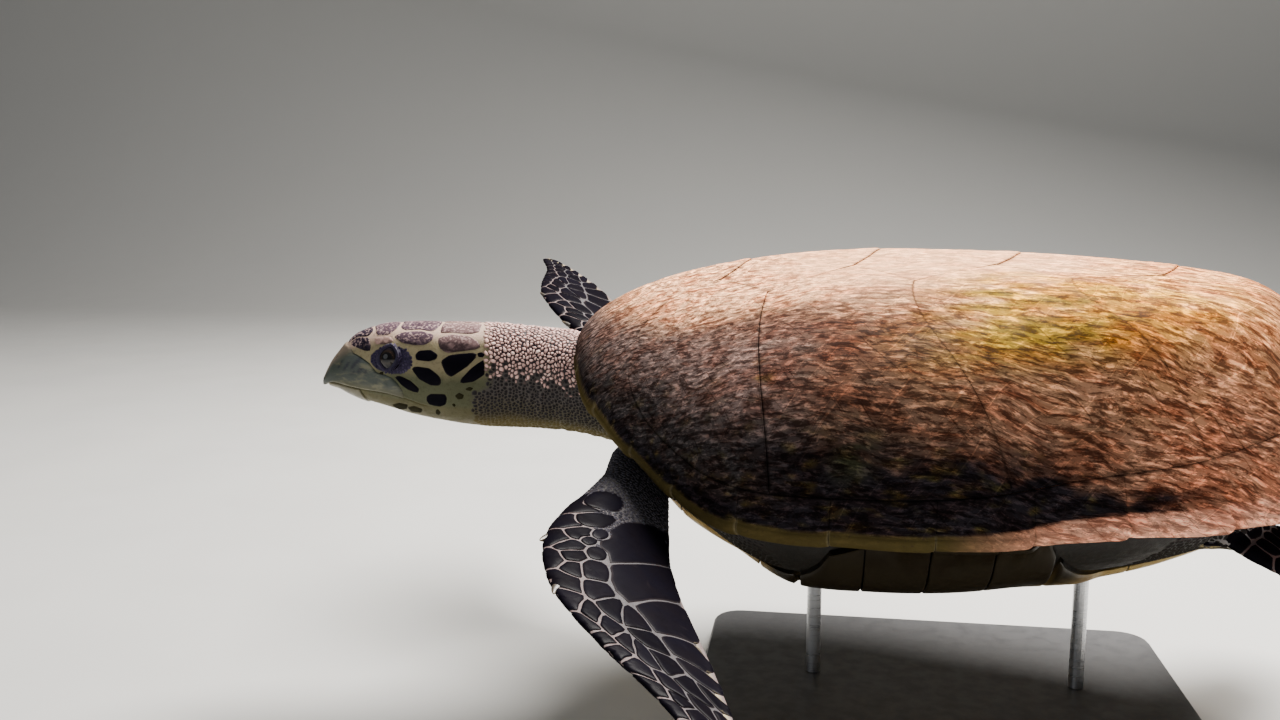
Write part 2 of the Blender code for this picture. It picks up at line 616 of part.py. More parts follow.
def claws(limb, side, fore, collection, parent):
    """Two small cones that lean out from the leading edge, just clear of it."""
    blade, length = (FORE_BLADE, FLIPPER_LENGTH) if fore else (HIND_BLADE, HIND_LENGTH)
    pose = (FORE_POSES if fore else HIND_POSES)[side]
    root = FORE_ROOT if fore else HIND_ROOT
    for index, (span, size, radius) in enumerate(FORE_CLAWS if fore else HIND_CLAWS):
        name = f"claw_{limb}_{index + 1}"
        lead = smooth(blade[0], blade[1], span)
        shape = bmesh.new()
        bmesh.ops.create_cone(shape, cap_ends=True, segments=8, radius1=radius, radius2=CLAW_TIP, depth=size)
        for vert in shape.verts:
            # The cone's axis lies along the leading edge and leans out from it.
            along, aside = vert.co.z + size / 2, vert.co.x + radius
            reach = along * math.cos(CLAW_SLANT) - aside * math.sin(CLAW_SLANT)
            out = along * math.sin(CLAW_SLANT) + aside * math.cos(CLAW_SLANT) + 4 * GAP - CLAW_SINK
            y = side * (out - lead * length)
            vert.co = (span * length + reach, y, vert.co.y - pose[3] * span * span * length)
        mesh = bpy.data.meshes.new(name)
        shape.to_mesh(mesh)
        shape.free()
        made = new_object(name, outward(mesh), "claw", collection, parent)
        place_limb(made, side, root, pose)


def tail(collection, parent):
    """A short cone that just passes the shell."""
    rings = []
    turn = np.linspace(0, 2 * math.pi, 12, endpoint=False)
    for at in np.linspace(0, 1, 6):
        radius = 0.030 * (1 - at) ** 0.7 + 0.0035
        middle = (0.285 + 0.095 * at, -0.006 * at * at, -0.040 - 0.012 * at * at)
        rings.append(np.stack([0 * turn, np.sin(turn), 0.85 * np.cos(turn)], axis=-1) * radius + middle)
    return new_object("tail", loft_mesh("tail", rings), "skin", collection, parent)


# ---- Stand ------------------------------------------------------------------------------
def stand_base(collection):
    shape = bmesh.new()
    bmesh.ops.create_cube(shape, size=1.0)
    bmesh.ops.scale(shape, vec=BASE_SIZE, verts=shape.verts)
    bmesh.ops.translate(shape, vec=(0, 0, BASE_SIZE[2] / 2), verts=shape.verts)
    upright = []
    for edge in shape.edges:
        if abs(edge.verts[0].co.z - edge.verts[1].co.z) > BASE_SIZE[2] / 2:
            upright.append(edge)
    bmesh.ops.bevel(shape, geom=upright, offset=BASE_CORNER, segments=6, affect="EDGES", profile=0.5)
    mesh = bpy.data.meshes.new("stand_base")
    shape.to_mesh(mesh)
    shape.free()
    made = new_object("stand_base", mesh, "base", collection)
    edge = made.modifiers.new("edge", "BEVEL")
    edge.width = 0.002
    edge.segments = 1
    edge.limit_method = "ANGLE"
    edge.angle_limit = math.radians(60.0)


def stand_rod(name, x, plastron_cutter, collection):
    """A rod from the base up to the plastron, whose underside trims it."""
    low = BASE_SIZE[2] + 2 * GAP
    angle = 0.0 if x < SHELL_CENTRE_X else math.pi
    touch = belly(angle, abs(x - SHELL_CENTRE_X) / round_the_shell(OUTLINE, angle))
    middle = PLASTRON_BED + PLASTRON_PLATE / 2
    high = BODY_HEIGHT + touch[2] - middle - x * math.sin(PITCH)
    shape = bmesh.new()
    bmesh.ops.create_cone(
        shape, cap_ends=True, segments=20, radius1=ROD_RADIUS, radius2=ROD_RADIUS, depth=high - low
    )
    bmesh.ops.translate(shape, vec=(x, 0, (low + high) / 2), verts=shape.verts)
    mesh = bpy.data.meshes.new(name)
    shape.to_mesh(mesh)
    shape.free()
    boolean(new_object(name, mesh, "steel", collection), plastron_cutter)


def clear_scene():
    for obj in list(bpy.data.objects):
        bpy.data.objects.remove(obj, do_unlink=True)


def main():
    clear_scene()
    turtle = bpy.data.collections.new("hawksbill_turtle")
    cutters = bpy.data.collections.new("cutters")
    bpy.context.scene.collection.children.link(turtle)
    bpy.context.scene.collection.children.link(cutters)
    cutters.hide_render = True

    body = bpy.data.objects.new("body_frame", None)
    body.location = (0, 0, BODY_HEIGHT)
    body.rotation_euler = (BANK, PITCH, 0)
    turtle.objects.link(body)

    vertebrals = [plate(f"vertebral_{i + 1}", vertebral_plan(i), turtle, body) for i in range(5)]
    for side, word in ((-1, "left"), (1, "right")):
        for index in range(4):
            plate(f"costal_{word}_{index + 1}", costal_plan(index) * (1, side), turtle, body)
        name = f"marginals_{word}"
        new_object(name, marginals_mesh(name, side), "marginal", turtle, body)
    new_object("nuchal", nuchal_mesh("nuchal"), "marginal", turtle, body)
    trunk = new_object("trunk", trunk_mesh("trunk", 0.0), "skin", turtle, body)
    plastron("plastron", turtle, body)
    head_pieces(turtle, cutters, body)

    trunk_cut = cutter("trunk_cutter", trunk_mesh("trunk_cutter", 2 * GAP), cutters, body)
    rim_cuts = [
        cutter("nuchal_cutter", nuchal_mesh("nuchal_cutter", 2 * GAP), cutters, body),
        cutter("left_rim_cutter", marginals_mesh("left_rim_cutter", -1, 2 * GAP), cutters, body),
        cutter("right_rim_cutter", marginals_mesh("right_rim_cutter", 1, 2 * GAP), cutters, body),
    ]
    plastron_cut = cutter("plastron_cutter", plastron_mesh("plastron_cutter", GAP, 0.002), cutters, body)
    thicken(plastron_cut, PLASTRON_PLATE + 2 * GAP, -1.0)
    for cut in rim_cuts:
        boolean(vertebrals[0], cut)
        boolean(trunk, cut)
    boolean(trunk, plastron_cut)
    limbs = [neck(turtle, body), tail(turtle, body)]
    for side, word in ((-1, "left"), (1, "right")):
        for fore, kind in ((True, "front"), (False, "rear")):
            limbs.append(flipper(f"flipper_{kind}_{word}", side, fore, turtle, body))
            claws(f"{kind}_{word}", side, fore, turtle, body)
    for limb in limbs:
        for cut in (trunk_cut, *rim_cuts, plastron_cut):
            boolean(limb, cut)

    stand_base(turtle)
    for word, x in zip(("front", "rear"), ROD_PLACES):
        stand_rod(f"stand_rod_{word}", x, plastron_cut, turtle)


main()
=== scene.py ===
from math import acos, atan2, cos, hypot, pi, radians, sin

import bpy
import numpy as np
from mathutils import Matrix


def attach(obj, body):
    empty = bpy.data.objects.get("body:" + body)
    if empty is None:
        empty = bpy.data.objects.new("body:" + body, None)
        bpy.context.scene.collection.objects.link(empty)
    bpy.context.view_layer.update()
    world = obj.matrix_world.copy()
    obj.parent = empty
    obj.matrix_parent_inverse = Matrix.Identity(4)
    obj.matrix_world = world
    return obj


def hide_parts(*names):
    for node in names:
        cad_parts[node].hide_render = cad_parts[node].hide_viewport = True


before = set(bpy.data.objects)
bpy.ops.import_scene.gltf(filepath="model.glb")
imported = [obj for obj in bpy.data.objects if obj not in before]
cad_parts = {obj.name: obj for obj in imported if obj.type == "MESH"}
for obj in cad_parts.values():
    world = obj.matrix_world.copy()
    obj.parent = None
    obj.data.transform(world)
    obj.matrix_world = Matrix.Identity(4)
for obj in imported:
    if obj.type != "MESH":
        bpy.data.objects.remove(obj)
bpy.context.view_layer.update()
scene = bpy.context.scene

# The animal's own frame: X from head to tail, Y to its right, Z up. It is then banked and lifted
body = {"height": 0.27, "bank": radians(3.4), "pitch": radians(0.6), "shellLength": 0.72}
shellLong = body["shellLength"]
bothSides = ((-1, "left"), (1, "right"))


def toRow(points):
    # Turned about X, then about Y, then lifted
    x, y, z = np.moveaxis(np.asarray(points, float), -1, 0)
    cb, sb = cos(body["bank"]), sin(body["bank"])
    cp, sp = cos(body["pitch"]), sin(body["pitch"])
    y, z = y * cb - z * sb, y * sb + z * cb
    return np.stack([x * cp + z * sp, y, z * cp - x * sp + body["height"]], axis=-1)


def smooth(knots, values, at):
    # Cubic Hermite curve through the knots, with central differences for its slopes
    knots, values = np.asarray(knots, float), np.asarray(values, float)
    slope = np.gradient(values, knots)
    at = np.clip(np.asarray(at, float), knots[0], knots[-1])
    i = np.clip(np.searchsorted(knots, at) - 1, 0, len(knots) - 2)
    step = knots[i + 1] - knots[i]
    f = (at - knots[i]) / step
    return (values[i] * (1 + 2 * f) * (1 - f) ** 2 + slope[i] * step * f * (1 - f) ** 2
            + values[i + 1] * f * f * (3 - 2 * f) + slope[i + 1] * step * f * f * (f - 1))


def ease(share):
    # 3x^2 - 2x^3 between 0 and 1
    share = np.clip(share, 0, 1)
    return share * share * (3 - 2 * share)


def rise(value, low, high):
    return ease((value - low) / (high - low))


def bump(value, middle, width):
    # A bell: exp of minus the square of the distance in widths
    return np.exp(-(((value - middle) / width) ** 2))


def rounded(distance, radius):
    # How far a quarter circle lies below its top: 1 at the edge, 0 from one radius inwards
    return 1 - np.sqrt(1 - np.clip(1 - distance / radius, 0, 1) ** 2)


def blend(tone, *layers):
    # Each layer is a colour and its share at each point: tone + (colour - tone) * share
    for colour, share in zip(layers[::2], layers[1::2]):
        tone = tone + (np.asarray(colour) - tone) * np.asarray(share)[..., None]
    return tone


def cloud(points, size, seed=0, octaves=3):
    # Value noise from -1 to 1, each octave half as large
    points = np.asarray(points, float)
    total, weight, norm = 0.0, 1.0, 0.0
    for octave in range(octaves):
        place = points / size * 2 ** octave + 31.7 * seed + 5.3 * octave
        cell = np.floor(place).astype(np.int64)
        f = ease(place - cell)
        value = 0.0
        for corner in np.ndindex(2, 2, 2):
            c = cell + corner
            key = (c[..., 0] * 73856093) ^ (c[..., 1] * 19349663) ^ (c[..., 2] * 83492791)
            key = ((key ^ (key >> 13)) * 1274126177) & 0xFFFFFFFF
            key = (key ^ (key >> 16)) & 0xFFFF
            side = np.where(np.array(corner) == 1, f, 1 - f)
            value = value + np.prod(side, axis=-1) * (key / 32767.5 - 1)
        total, norm, weight = total + weight * value, norm + weight, weight / 2
    return total / norm


def colours(**rows):
    # Named colours: red, green, blue and, for some, how strongly the streaks show
    return {name: np.array(row, float) for name, row in rows.items()}


def stacked(*parts):
    # Arrays or numbers as the coordinates of a last axis
    return np.stack(np.broadcast_arrays(*parts), axis=-1)


def unit(vectors):
    return vectors / np.maximum(np.linalg.norm(vectors, axis=-1, keepdims=True), 1e-12)


def outwards(angle):
    # Level directions away from the shell's middle
    return stacked(-np.cos(angle), np.sin(angle), 0 * angle)


def circle(count):
    return np.linspace(0, 2 * pi, count, endpoint=False)


def attribute(mesh, name, kind, values):
    field = {"FLOAT_COLOR": "color", "FLOAT": "value"}[kind]
    made = mesh.attributes.get(name) or mesh.attributes.new(name, kind, "POINT")
    if kind == "FLOAT_COLOR" and values.shape[-1] == 3:
        values = np.concatenate([values, np.ones(values.shape[:-1] + (1,))], axis=-1)
    made.data.foreach_set(field, np.ascontiguousarray(values, np.float32).ravel())


def newMesh(name, points, faces):
    # faces is a list of index arrays, each of one count of corners
    mesh = bpy.data.meshes.new(name)
    points = np.ascontiguousarray(points, np.float32).reshape(-1, 3)
    loops = np.concatenate([f.ravel() for f in faces]).astype(np.int32)
    sizes = np.concatenate([np.full(len(f), f.shape[1], np.int32) for f in faces])
    mesh.vertices.add(len(points))
    mesh.vertices.foreach_set("co", points.ravel())
    mesh.loops.add(len(loops))
    mesh.loops.foreach_set("vertex_index", loops)
    mesh.polygons.add(len(sizes))
    mesh.polygons.foreach_set("loop_start", np.cumsum(sizes) - sizes)
    mesh.update(calc_edges=True)
    mesh.validate()
    return mesh


def newObject(name, data):
    made = bpy.data.objects.new(name, data)
    scene.collection.objects.link(made)
    return made


def pointsOf(mesh):
    found = np.empty(len(mesh.vertices) * 3, np.float32)
    mesh.vertices.foreach_get("co", found)
    return found.reshape(-1, 3).astype(float)


def cornerMap(mesh, name, places):
    # A UV map from one place for each vertex
    made = mesh.uv_layers.new(name=name)
    corner = np.empty(len(mesh.loops), np.int32)
    mesh.loops.foreach_get("vertex_index", corner)
    made.data.foreach_set("uv", np.ascontiguousarray(places[corner], np.float32).ravel())


def gridFaces(rows, columns, closed=False):
    # Quads between neighbouring rows. Closed joins the last column to the first
    r = np.arange(rows - 1)[:, None] * columns
    c = np.arange(columns if closed else columns - 1)[None]
    n = (c + 1) % columns
    return stacked(r + c, r + n, r + columns + n, r + columns + c).reshape(-1, 4)


def outward(points, faces):
    # Turns every face when the volume inside is negative
    points = points - points.mean(axis=0)
    volume = sum(np.einsum("ij,ij->i", points[f[:, 0]], np.cross(points[f[:, k]], points[f[:, k + 1]])).sum()
                 for f in faces for k in range(1, f.shape[1] - 1))
    return [f[:, ::-1] for f in faces] if volume < 0 else faces


def newPiece(name, points, faces, kind, paint, nodes=(), maps={}, inRow=False):
    # A piece may not have a node's own name
    name = f"{name}_piece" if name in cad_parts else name
    mesh = newMesh(name, points if inRow else toRow(points), faces)
    made = newObject(name, mesh)
    mesh.materials.append(finish[kind])
    mesh.shade_smooth()
    attribute(mesh, "paint", "FLOAT_COLOR", paint)
    for mapName, places in maps.items():
        cornerMap(mesh, mapName, places)
    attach(made, "root")
    if nodes:
        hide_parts(*nodes)


def closedLoft(rings, first=None, last=None):
    # Equal closed rings joined by quads. Each end closes on its middle point
    rings = np.asarray(rings)
    count, around = rings.shape[:2]
    ends = [ring.mean(axis=0) if end is None else end for ring, end in ((rings[0], first), (rings[-1], last))]
    points = np.concatenate([rings.reshape(-1, 3), ends])
    j = np.arange(around)
    k = (j + 1) % around
    base, far = count * around, (count - 1) * around
    fans = np.concatenate([stacked(k, j, base), stacked(far + j, far + k, base + 1)])
    return points, outward(points, [gridFaces(count, around, closed=True), fans])


def plateSheet(top, floor, rings=(1, 0.97, 0.6, 0.25)):
    # A grid that is closed below by loops that shrink to its middle, as large as rings says.
    # floor(points, share) gives the place under each point of the rim, share of the way in
    rows, columns = top.shape[:2]
    index = np.arange(rows * columns).reshape(rows, columns)
    loop = np.concatenate([index[0, :-1], index[:-1, -1], index[-1, :0:-1], index[:0:-1, 0]])
    rim = top.reshape(-1, 3)
    below = [floor(rim[loop], 1 - ring) for ring in rings]
    points = np.concatenate([rim, *below, floor(rim[loop], 1.0).mean(axis=0)[None]])
    loops = [loop] + [rows * columns + len(loop) * n + np.arange(len(loop)) for n in range(len(rings))]
    faces = [gridFaces(rows, columns)]
    faces += [stacked(a, np.roll(a, -1), np.roll(b, -1), b) for a, b in zip(loops, loops[1:])]
    faces.append(stacked(loops[-1], np.roll(loops[-1], -1), len(points) - 1))
    return points, outward(points, [f[:, ::-1] for f in faces])


print("scene: helpers ready")


def newFinish(name, spec):
    # A Principled shader: the paint attribute or one colour under layers of noise, and bumps
    made = bpy.data.materials.new(name)
    made.use_nodes = True
    nodes, links = made.node_tree.nodes, made.node_tree.links
    shader = nodes["Principled BSDF"]
    place = nodes.new("ShaderNodeTexCoord").outputs["Object"]
    if spec.get("grain"):
        grain = nodes.new("ShaderNodeUVMap")
        grain.uv_map = "grain"
    paint = spec.get("colour")
    if not paint:
        source = nodes.new("ShaderNodeAttribute")
        source.attribute_name = "paint"
        paint = source.outputs["Color"]

    def joined(kind, values, sockets, out=0, **settings):
        # A new node with each socket linked to an output or set to a value
        node = nodes.new(kind)
        for key, value in settings.items():
            setattr(node, key, value)
        for value, socket in zip(values, sockets):
            if isinstance(value, bpy.types.NodeSocket):
                links.new(value, node.inputs[socket])
            else:
                node.inputs[socket].default_value = value
        return node.outputs[out]

    def noise(layer):
        # One noise, stretched and turned as the layer says
        stretch = np.array(layer["scale"] if np.ndim(layer["scale"]) else (layer["scale"],) * 3, float)
        turned = "turn" in layer
        mapping = joined("ShaderNodeMapping", (
            grain.outputs[0] if layer.get("grain") else place, (layer.get("shift", 0.0),) * 3,
            (0, 0, layer.get("turn", 0)), 1 / stretch if turned else stretch),
            ("Vector", "Location", "Rotation", "Scale"), vector_type="TEXTURE" if turned else "POINT")
        if "cells" in layer:
            return joined("ShaderNodeTexVoronoi", (mapping, 1.0), ("Vector", "Scale"), feature=layer["cells"])
        return joined("ShaderNodeTexNoise", (mapping, 1.0, layer.get("detail", 3.0), layer.get("rough", 0.55),
                      layer.get("twist", 0.0)), ("Vector", "Scale", "Detail", "Roughness", "Distortion"))

    def ramp(value, low, high, start, end):
        return joined("ShaderNodeMapRange", (value, low, high, start, end),
                      ("Value", "From Min", "From Max", "To Min", "To Max"), interpolation_type="SMOOTHSTEP")

    def masked(value, layer):
        # The paint's alpha thins a layer, or what alpha leaves does
        if "mask" not in layer:
            return value
        alpha = source.outputs["Alpha"]
        if layer["mask"] == "rest":
            alpha = joined("ShaderNodeMath", (1.0, alpha), (0, 1), operation="SUBTRACT")
        return joined("ShaderNodeMath", (value, alpha), (0, 1), operation="MULTIPLY")

    for layer in spec.get("layers", ()):
        low, high, amount = layer["span"]
        share = masked(ramp(noise(layer), low, high, 0.0, amount), layer)
        under = paint if isinstance(paint, bpy.types.NodeSocket) else (*paint, 1)
        paint = joined("ShaderNodeMix", (share, under, (*layer["colour"], 1)), (0, 6, 7), 2,
                       data_type="RGBA", blend_type=layer.get("kind", "MIX"))
    links.new(paint, shader.inputs["Base Color"])
    scale, low, high = spec["roughness"]
    links.new(ramp(noise({"scale": scale}), 0.3, 0.7, low, high), shader.inputs["Roughness"])
    normal = None
    for layer in spec.get("bumps", ()):
        strength, depth = layer["raise"]
        values = (strength, depth, masked(noise(layer), layer)) + ((normal,) if normal else ())
        normal = joined("ShaderNodeBump", values, ("Strength", "Distance", "Height", "Normal"))
    if normal:
        links.new(normal, shader.inputs["Normal"])
    for socket, value in spec.get("sockets", {}).items():
        shader.inputs[socket].default_value = value
    return made


# A layer's span: where it starts, where it is full, how strong it is. Raise: strength and depth of a
# bump. Roughness: noise scale and range
streak = {"grain": True, "mask": "alpha", "kind": "MULTIPLY", "detail": 7.0, "rough": 0.74, "twist": 0.3}
scratch = {"grain": True, "mask": "alpha", "kind": "MULTIPLY"}
stain = {"kind": "MULTIPLY", "detail": 4.0}
finishes = {
    "scute": {
        "grain": True,
        "layers": [
            {**streak, "scale": (36, 260, 1), "span": (0.45, 0.57, 0.9), "colour": (0.18, 0.13, 0.12)},
            {**streak, "scale": (50, 330, 1), "shift": 7.0, "span": (0.5, 0.6, 1.0), "colour": (3.0, 2.75, 2.6)},
            {**streak, "scale": (13, 60, 1), "detail": 6.0, "rough": 0.65, "twist": 0.6, "shift": 3.0,
             "span": (0.46, 0.58, 0.6), "colour": (0.66, 0.42, 0.34)},
            {**scratch, "scale": (9, 420, 1), "turn": 0.62, "shift": 2.0, "span": (0.62, 0.67, 0.55),
             "colour": (2.4, 2.2, 2.0)},
            {**scratch, "scale": (11, 380, 1), "turn": -0.5, "shift": 5.0, "span": (0.63, 0.68, 0.7),
             "colour": (0.3, 0.24, 0.22)},
            {"scale": 420, "span": (0.58, 0.72, 0.4), "colour": (0.03, 0.02, 0.02)},
        ],
        "roughness": (60, 0.6, 0.8),
        "bumps": [{**streak, "scale": (36, 260, 1), "raise": (0.5, 0.0014)},
                  {"scale": 330, "detail": 4.0, "raise": (0.3, 0.0005)}],
        "sockets": {"Specular IOR Level": 0.02},
    },
    "plastron": {
        "layers": [
            {**stain, "scale": 28, "detail": 5.0, "span": (0.52, 0.66, 0.6), "colour": (0.55, 0.42, 0.3)},
            {**stain, "scale": 260, "detail": 3.0, "span": (0.56, 0.72, 0.4), "colour": (0.6, 0.5, 0.45)},
        ],
        "roughness": (70, 0.38, 0.58),
        "bumps": [{"scale": 180, "detail": 4.0, "raise": (0.3, 0.0006)}],
        "sockets": {"Specular IOR Level": 0.1},
    },
    "skin": {
        "layers": [{**stain, "scale": 300, "span": (0.5, 0.7, 0.35), "colour": (0.45, 0.42, 0.4)}],
        "roughness": (150, 0.45, 0.68),
        "bumps": [{"cells": "F1", "scale": 1100, "raise": (0.35, 0.0005)},
                  {"scale": 420, "detail": 4.0, "raise": (0.35, 0.0006)}],
        "sockets": {"Specular IOR Level": 0.2, "Subsurface Weight": 0.04, "Subsurface Scale": 0.003},
    },
    "scale": {
        "layers": [
            {"scale": 420, "detail": 4.0, "mask": "rest", "span": (0.5, 0.6, 0.85), "colour": (0.62, 0.44, 0.41)},
            {**stain, "scale": 130, "detail": 5.0, "mask": "rest", "shift": 4.0, "span": (0.5, 0.6, 0.6),
             "colour": (0.3, 0.25, 0.3)},
            {**stain, "scale": 120, "span": (0.52, 0.72, 0.45), "colour": (0.55, 0.5, 0.55)},
        ],
        "roughness": (200, 0.42, 0.62),
        "bumps": [{"scale": 500, "detail": 4.0, "raise": (0.25, 0.0004)}],
        "sockets": {"Specular IOR Level": 0.0, "Coat Weight": 0.06, "Coat Roughness": 0.35},
    },
    "beak": {
        "layers": [
            {"scale": (60, 60, 160), "detail": 4.0, "span": (0.5, 0.7, 0.35), "colour": (0.3, 0.27, 0.14)},
            {"scale": 500, "span": (0.6, 0.74, 0.25), "colour": (0.12, 0.12, 0.09)},
        ],
        "roughness": (120, 0.28, 0.46),
        "bumps": [{"scale": (90, 90, 260), "detail": 4.0, "raise": (0.25, 0.0004)}],
        "sockets": {"Specular IOR Level": 0.5},
    },
    "eye": {
        "roughness": (200, 0.05, 0.09),
        "sockets": {"Specular IOR Level": 0.3, "Coat Weight": 0.2, "Coat Roughness": 0.02},
    },
    "claw": {
        "layers": [{"scale": 400, "span": (0.5, 0.7, 0.4), "colour": (0.12, 0.09, 0.06)}],
        "roughness": (300, 0.3, 0.45),
    },
    "base": {
        "colour": (0.03, 0.031, 0.035),
        "layers": [{"scale": 900, "detail": 2.0, "span": (0.55, 0.7, 0.5), "colour": (0.05, 0.05, 0.055)}],
        "roughness": (60, 0.42, 0.55),
        "bumps": [{"scale": 900, "detail": 2.0, "raise": (0.2, 0.0003)}],
    },
    "steel": {
        "colour": (0.58, 0.59, 0.61),
        "layers": [{"scale": (4, 4, 900), "detail": 2.0, "span": (0.4, 0.7, 0.15), "colour": (0.45, 0.46, 0.48)}],
        "roughness": ((4, 4, 900), 0.26, 0.34),
        "sockets": {"Metallic": 1.0},
    },
    "floor": {
        "colour": (0.56, 0.56, 0.545),
        "layers": [{"scale": 3, "span": (0.4, 0.7, 0.1), "colour": (0.51, 0.51, 0.5)}],
        "roughness": (6, 0.55, 0.7),
        "bumps": [{"scale": 300, "detail": 2.0, "raise": (0.05, 0.0005)}],
    },
}
finishes["marginal"] = finishes["scute"]
finish = {name: newFinish(name, spec) for name, spec in finishes.items()}

# The camera looks at the left side from the front of the shell, a little above its rim
view = {"lens": 33.26, "sensor": 36.0, "down": radians(8.39), "turn": radians(9.06), "clip": (0.02, 60),
        "place": (-0.1135, -1.1317, 0.4951)}
# One large soft light from above and behind, one soft fill from the camera's left, a pale surround
lamps = {
    "key": {"place": (0.55, 1.25, 2.6), "aim": (0, 0, 0.3), "size": 1.6, "power": 400, "colour": (1, 0.955, 0.9)},
    "fill": {"place": (-1.9, -2.4, 1.5), "aim": (0, 0, 0.25), "size": 2.6, "power": 19, "colour": (0.93, 0.96, 1)},
    "front": {"place": (1.3, -2.6, 0.9), "aim": (0.1, 0, 0.25), "size": 2.2, "power": 9, "colour": (1, 0.97, 0.93)},
}
surround = {"Color": (0.86, 0.88, 0.9, 1), "Strength": 0.15}
backdrop = {"front": -5.0, "back": 3.2, "side": 7.0, "curve": 1.4, "height": 5.0, "below": 0.0004}


def makeCamera():
    data = bpy.data.cameras.new("camera")
    data.lens, data.sensor_width = view["lens"], view["sensor"]
    data.clip_start, data.clip_end = view["clip"]
    made = newObject("camera", data)
    made.location = view["place"]
    made.rotation_euler = (pi / 2 - view["down"], 0, view["turn"])
    scene.camera = made


def makeLamps():
    for name, spec in lamps.items():
        data = bpy.data.lights.new(name, "AREA")
        data.shape, data.size = "DISK", spec["size"]
        data.energy, data.color = spec["power"], spec["colour"]
        made = newObject(name, data)
        away = np.array(spec["place"]) - spec["aim"]
        made.location = spec["place"]
        made.rotation_euler = (atan2(hypot(away[0], away[1]), away[2]), 0, atan2(away[0], -away[1]))
        made.visible_glossy = name != "front"
    world = bpy.data.worlds.new("surround")
    world.use_nodes = True
    for socket, value in surround.items():
        world.node_tree.nodes["Background"].inputs[socket].default_value = value
    scene.world = world


def makeFloor():
    # A flat sheet that turns up at the back in a quarter circle
    turn = np.linspace(0, pi / 2, 24)
    back, curve = backdrop["back"], backdrop["curve"]
    arc = stacked(back + curve * np.sin(turn), curve * (1 - np.cos(turn)))
    profile = np.concatenate([[[backdrop["front"], 0]], arc, [[back + curve, backdrop["height"]]]])
    across = np.linspace(-backdrop["side"], backdrop["side"], 9)
    grid = stacked(across, profile[:, :1], profile[:, 1:] - backdrop["below"])
    mesh = newMesh("floor", grid, [gridFaces(len(profile), len(across))[:, ::-1]])
    mesh.materials.append(finish["floor"])
    mesh.shade_smooth()
    newObject("floor", mesh)


makeCamera()
makeLamps()
makeFloor()
for nodeName, kind in (("stand_base", "base"), ("stand_rod_front", "steel"), ("stand_rod_rear", "steel")):
    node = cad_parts[nodeName]
    node.data.materials.clear()
    node.data.materials.append(finish[kind])
    node.data.update()
print("scene: camera, lights, floor and stand ready")

# The outline and the rim's level at every 20 degrees from front to tail, in shell lengths
shell = {
    "centre": -0.0545 * shellLong,
    "outline": (0.437, 0.427, 0.406, 0.414, 0.379, 0.361, 0.367, 0.426, 0.495, 0.543),
    "rimLevel": (0.098, 0.062, 0.014, -0.02, -0.026, -0.028, -0.02, -0.016, -0.011, -0.002),
    "top": 0.2254 * shellLong, "belly": -0.15 * shellLong, "keelHeight": 0.005, "keelWidth": 0.03,
    "plate": 0.0032, "seam": 0.0001, "edge": 0.0005, "lift": 0.0007, "ringGap": 0.0001,
    "ringAt": np.radians([-18, 0, 18, 23, 27, 32, 38, 50, 75, 105, 135, 158, 180, 202.0]),
    "ringEta": np.radians([49, 50, 49, 58, 65, 72, 77, 79.5, 80.5, 79.5, 77, 72, 67, 72.0]),
}
# In shell lengths. Seams: distance at the middle and at the side, half width. Corners: distance,
# half width
vertebral = {
    "seams": ((0.24, 0.205, 0.066), (0.405, 0.368, 0.072), (0.58, 0.542, 0.066), (0.77, 0.735, 0.062)),
    "corners": ((0.268, 0.13), (0.44, 0.135), (0.622, 0.114), (0.838, 0.155)),
    "lengths": ((0.165, 0.22), (0.165, 0.26), (0.165, 0.26), (0.165, 0.24), (0.165, 0.26)),
}
costal = {
    "angles": np.radians([17.0, 66.5, 104.5, 137.0, 158.0]), "bows": (0.0, 0.012, 0.034, 0.038, 0.0),
    "lengths": ((0.235, 0.3), (0.19, 0.4), (0.19, 0.4), (0.17, 0.33)), "corner": radians(6.0), "crowd": 1.8,
}


def folded(angle):
    return np.abs((np.asarray(angle) + np.pi) % (2 * np.pi) - np.pi)


def roundShell(values, angle):
    # Reads a list that has one value for each 20 degrees
    knots = np.arange(-1, len(values) + 1) * radians(20.0)
    return shellLong * smooth(knots, (values[1], *values, values[-2]), folded(angle))


def ringEta(angle):
    return smooth(shell["ringAt"], shell["ringEta"], folded(angle))


def dome(angle, eta):
    # Reach is the outline times sin(eta). Height falls from the top as a power of cos(eta), and
    # the power drops towards the tail, which fills the rear out. A bell adds the keel
    angle, eta = np.broadcast_arrays(angle, eta)
    back = ((1 - np.cos(angle)) / 2) ** 2
    reach = roundShell(shell["outline"], angle) * np.sin(eta)
    falling = ease((eta - radians(45.0)) / radians(35.0))
    level = np.clip(np.cos(eta), 0, 1) ** (1.06 - (0.77 - 0.6 * falling) * back)
    y = reach * np.sin(angle)
    rim = roundShell(shell["rimLevel"], angle)
    keel = shell["keelHeight"] * bump(y, 0, shell["keelWidth"]) * np.clip(np.cos(eta), 0, 1)
    return stacked(shell["centre"] - reach * np.cos(angle), y, rim + (shell["top"] - rim) * level + keel)


def domeShifted(angle, eta, offset, small=1e-3):
    # The dome moved along its outward normal, which comes from differences of a milliradian
    inside = np.clip(eta, small, pi / 2 - small)
    normal = unit(np.cross(dome(angle, inside + small) - dome(angle, inside - small),
                           dome(angle + small, inside) - dome(angle - small, inside)))
    normal = np.where(normal[..., 2:] < 0, -normal, normal)
    return dome(angle, eta) + normal * np.asarray(offset)[..., None]


def outlineShare(x, y):
    # Angle from the front, and share of the way from the shell's centre to its outline
    angle = np.arctan2(y, -x)
    return angle, np.hypot(x, y) / roundShell(shell["outline"], angle)


def domeAngles(points):
    # Angle from the front and eta of places in plan, in metres
    angle, reach = outlineShare(points[..., 0] - shell["centre"], points[..., 1])
    return angle, np.arcsin(np.clip(reach, 0.0, 1.0))


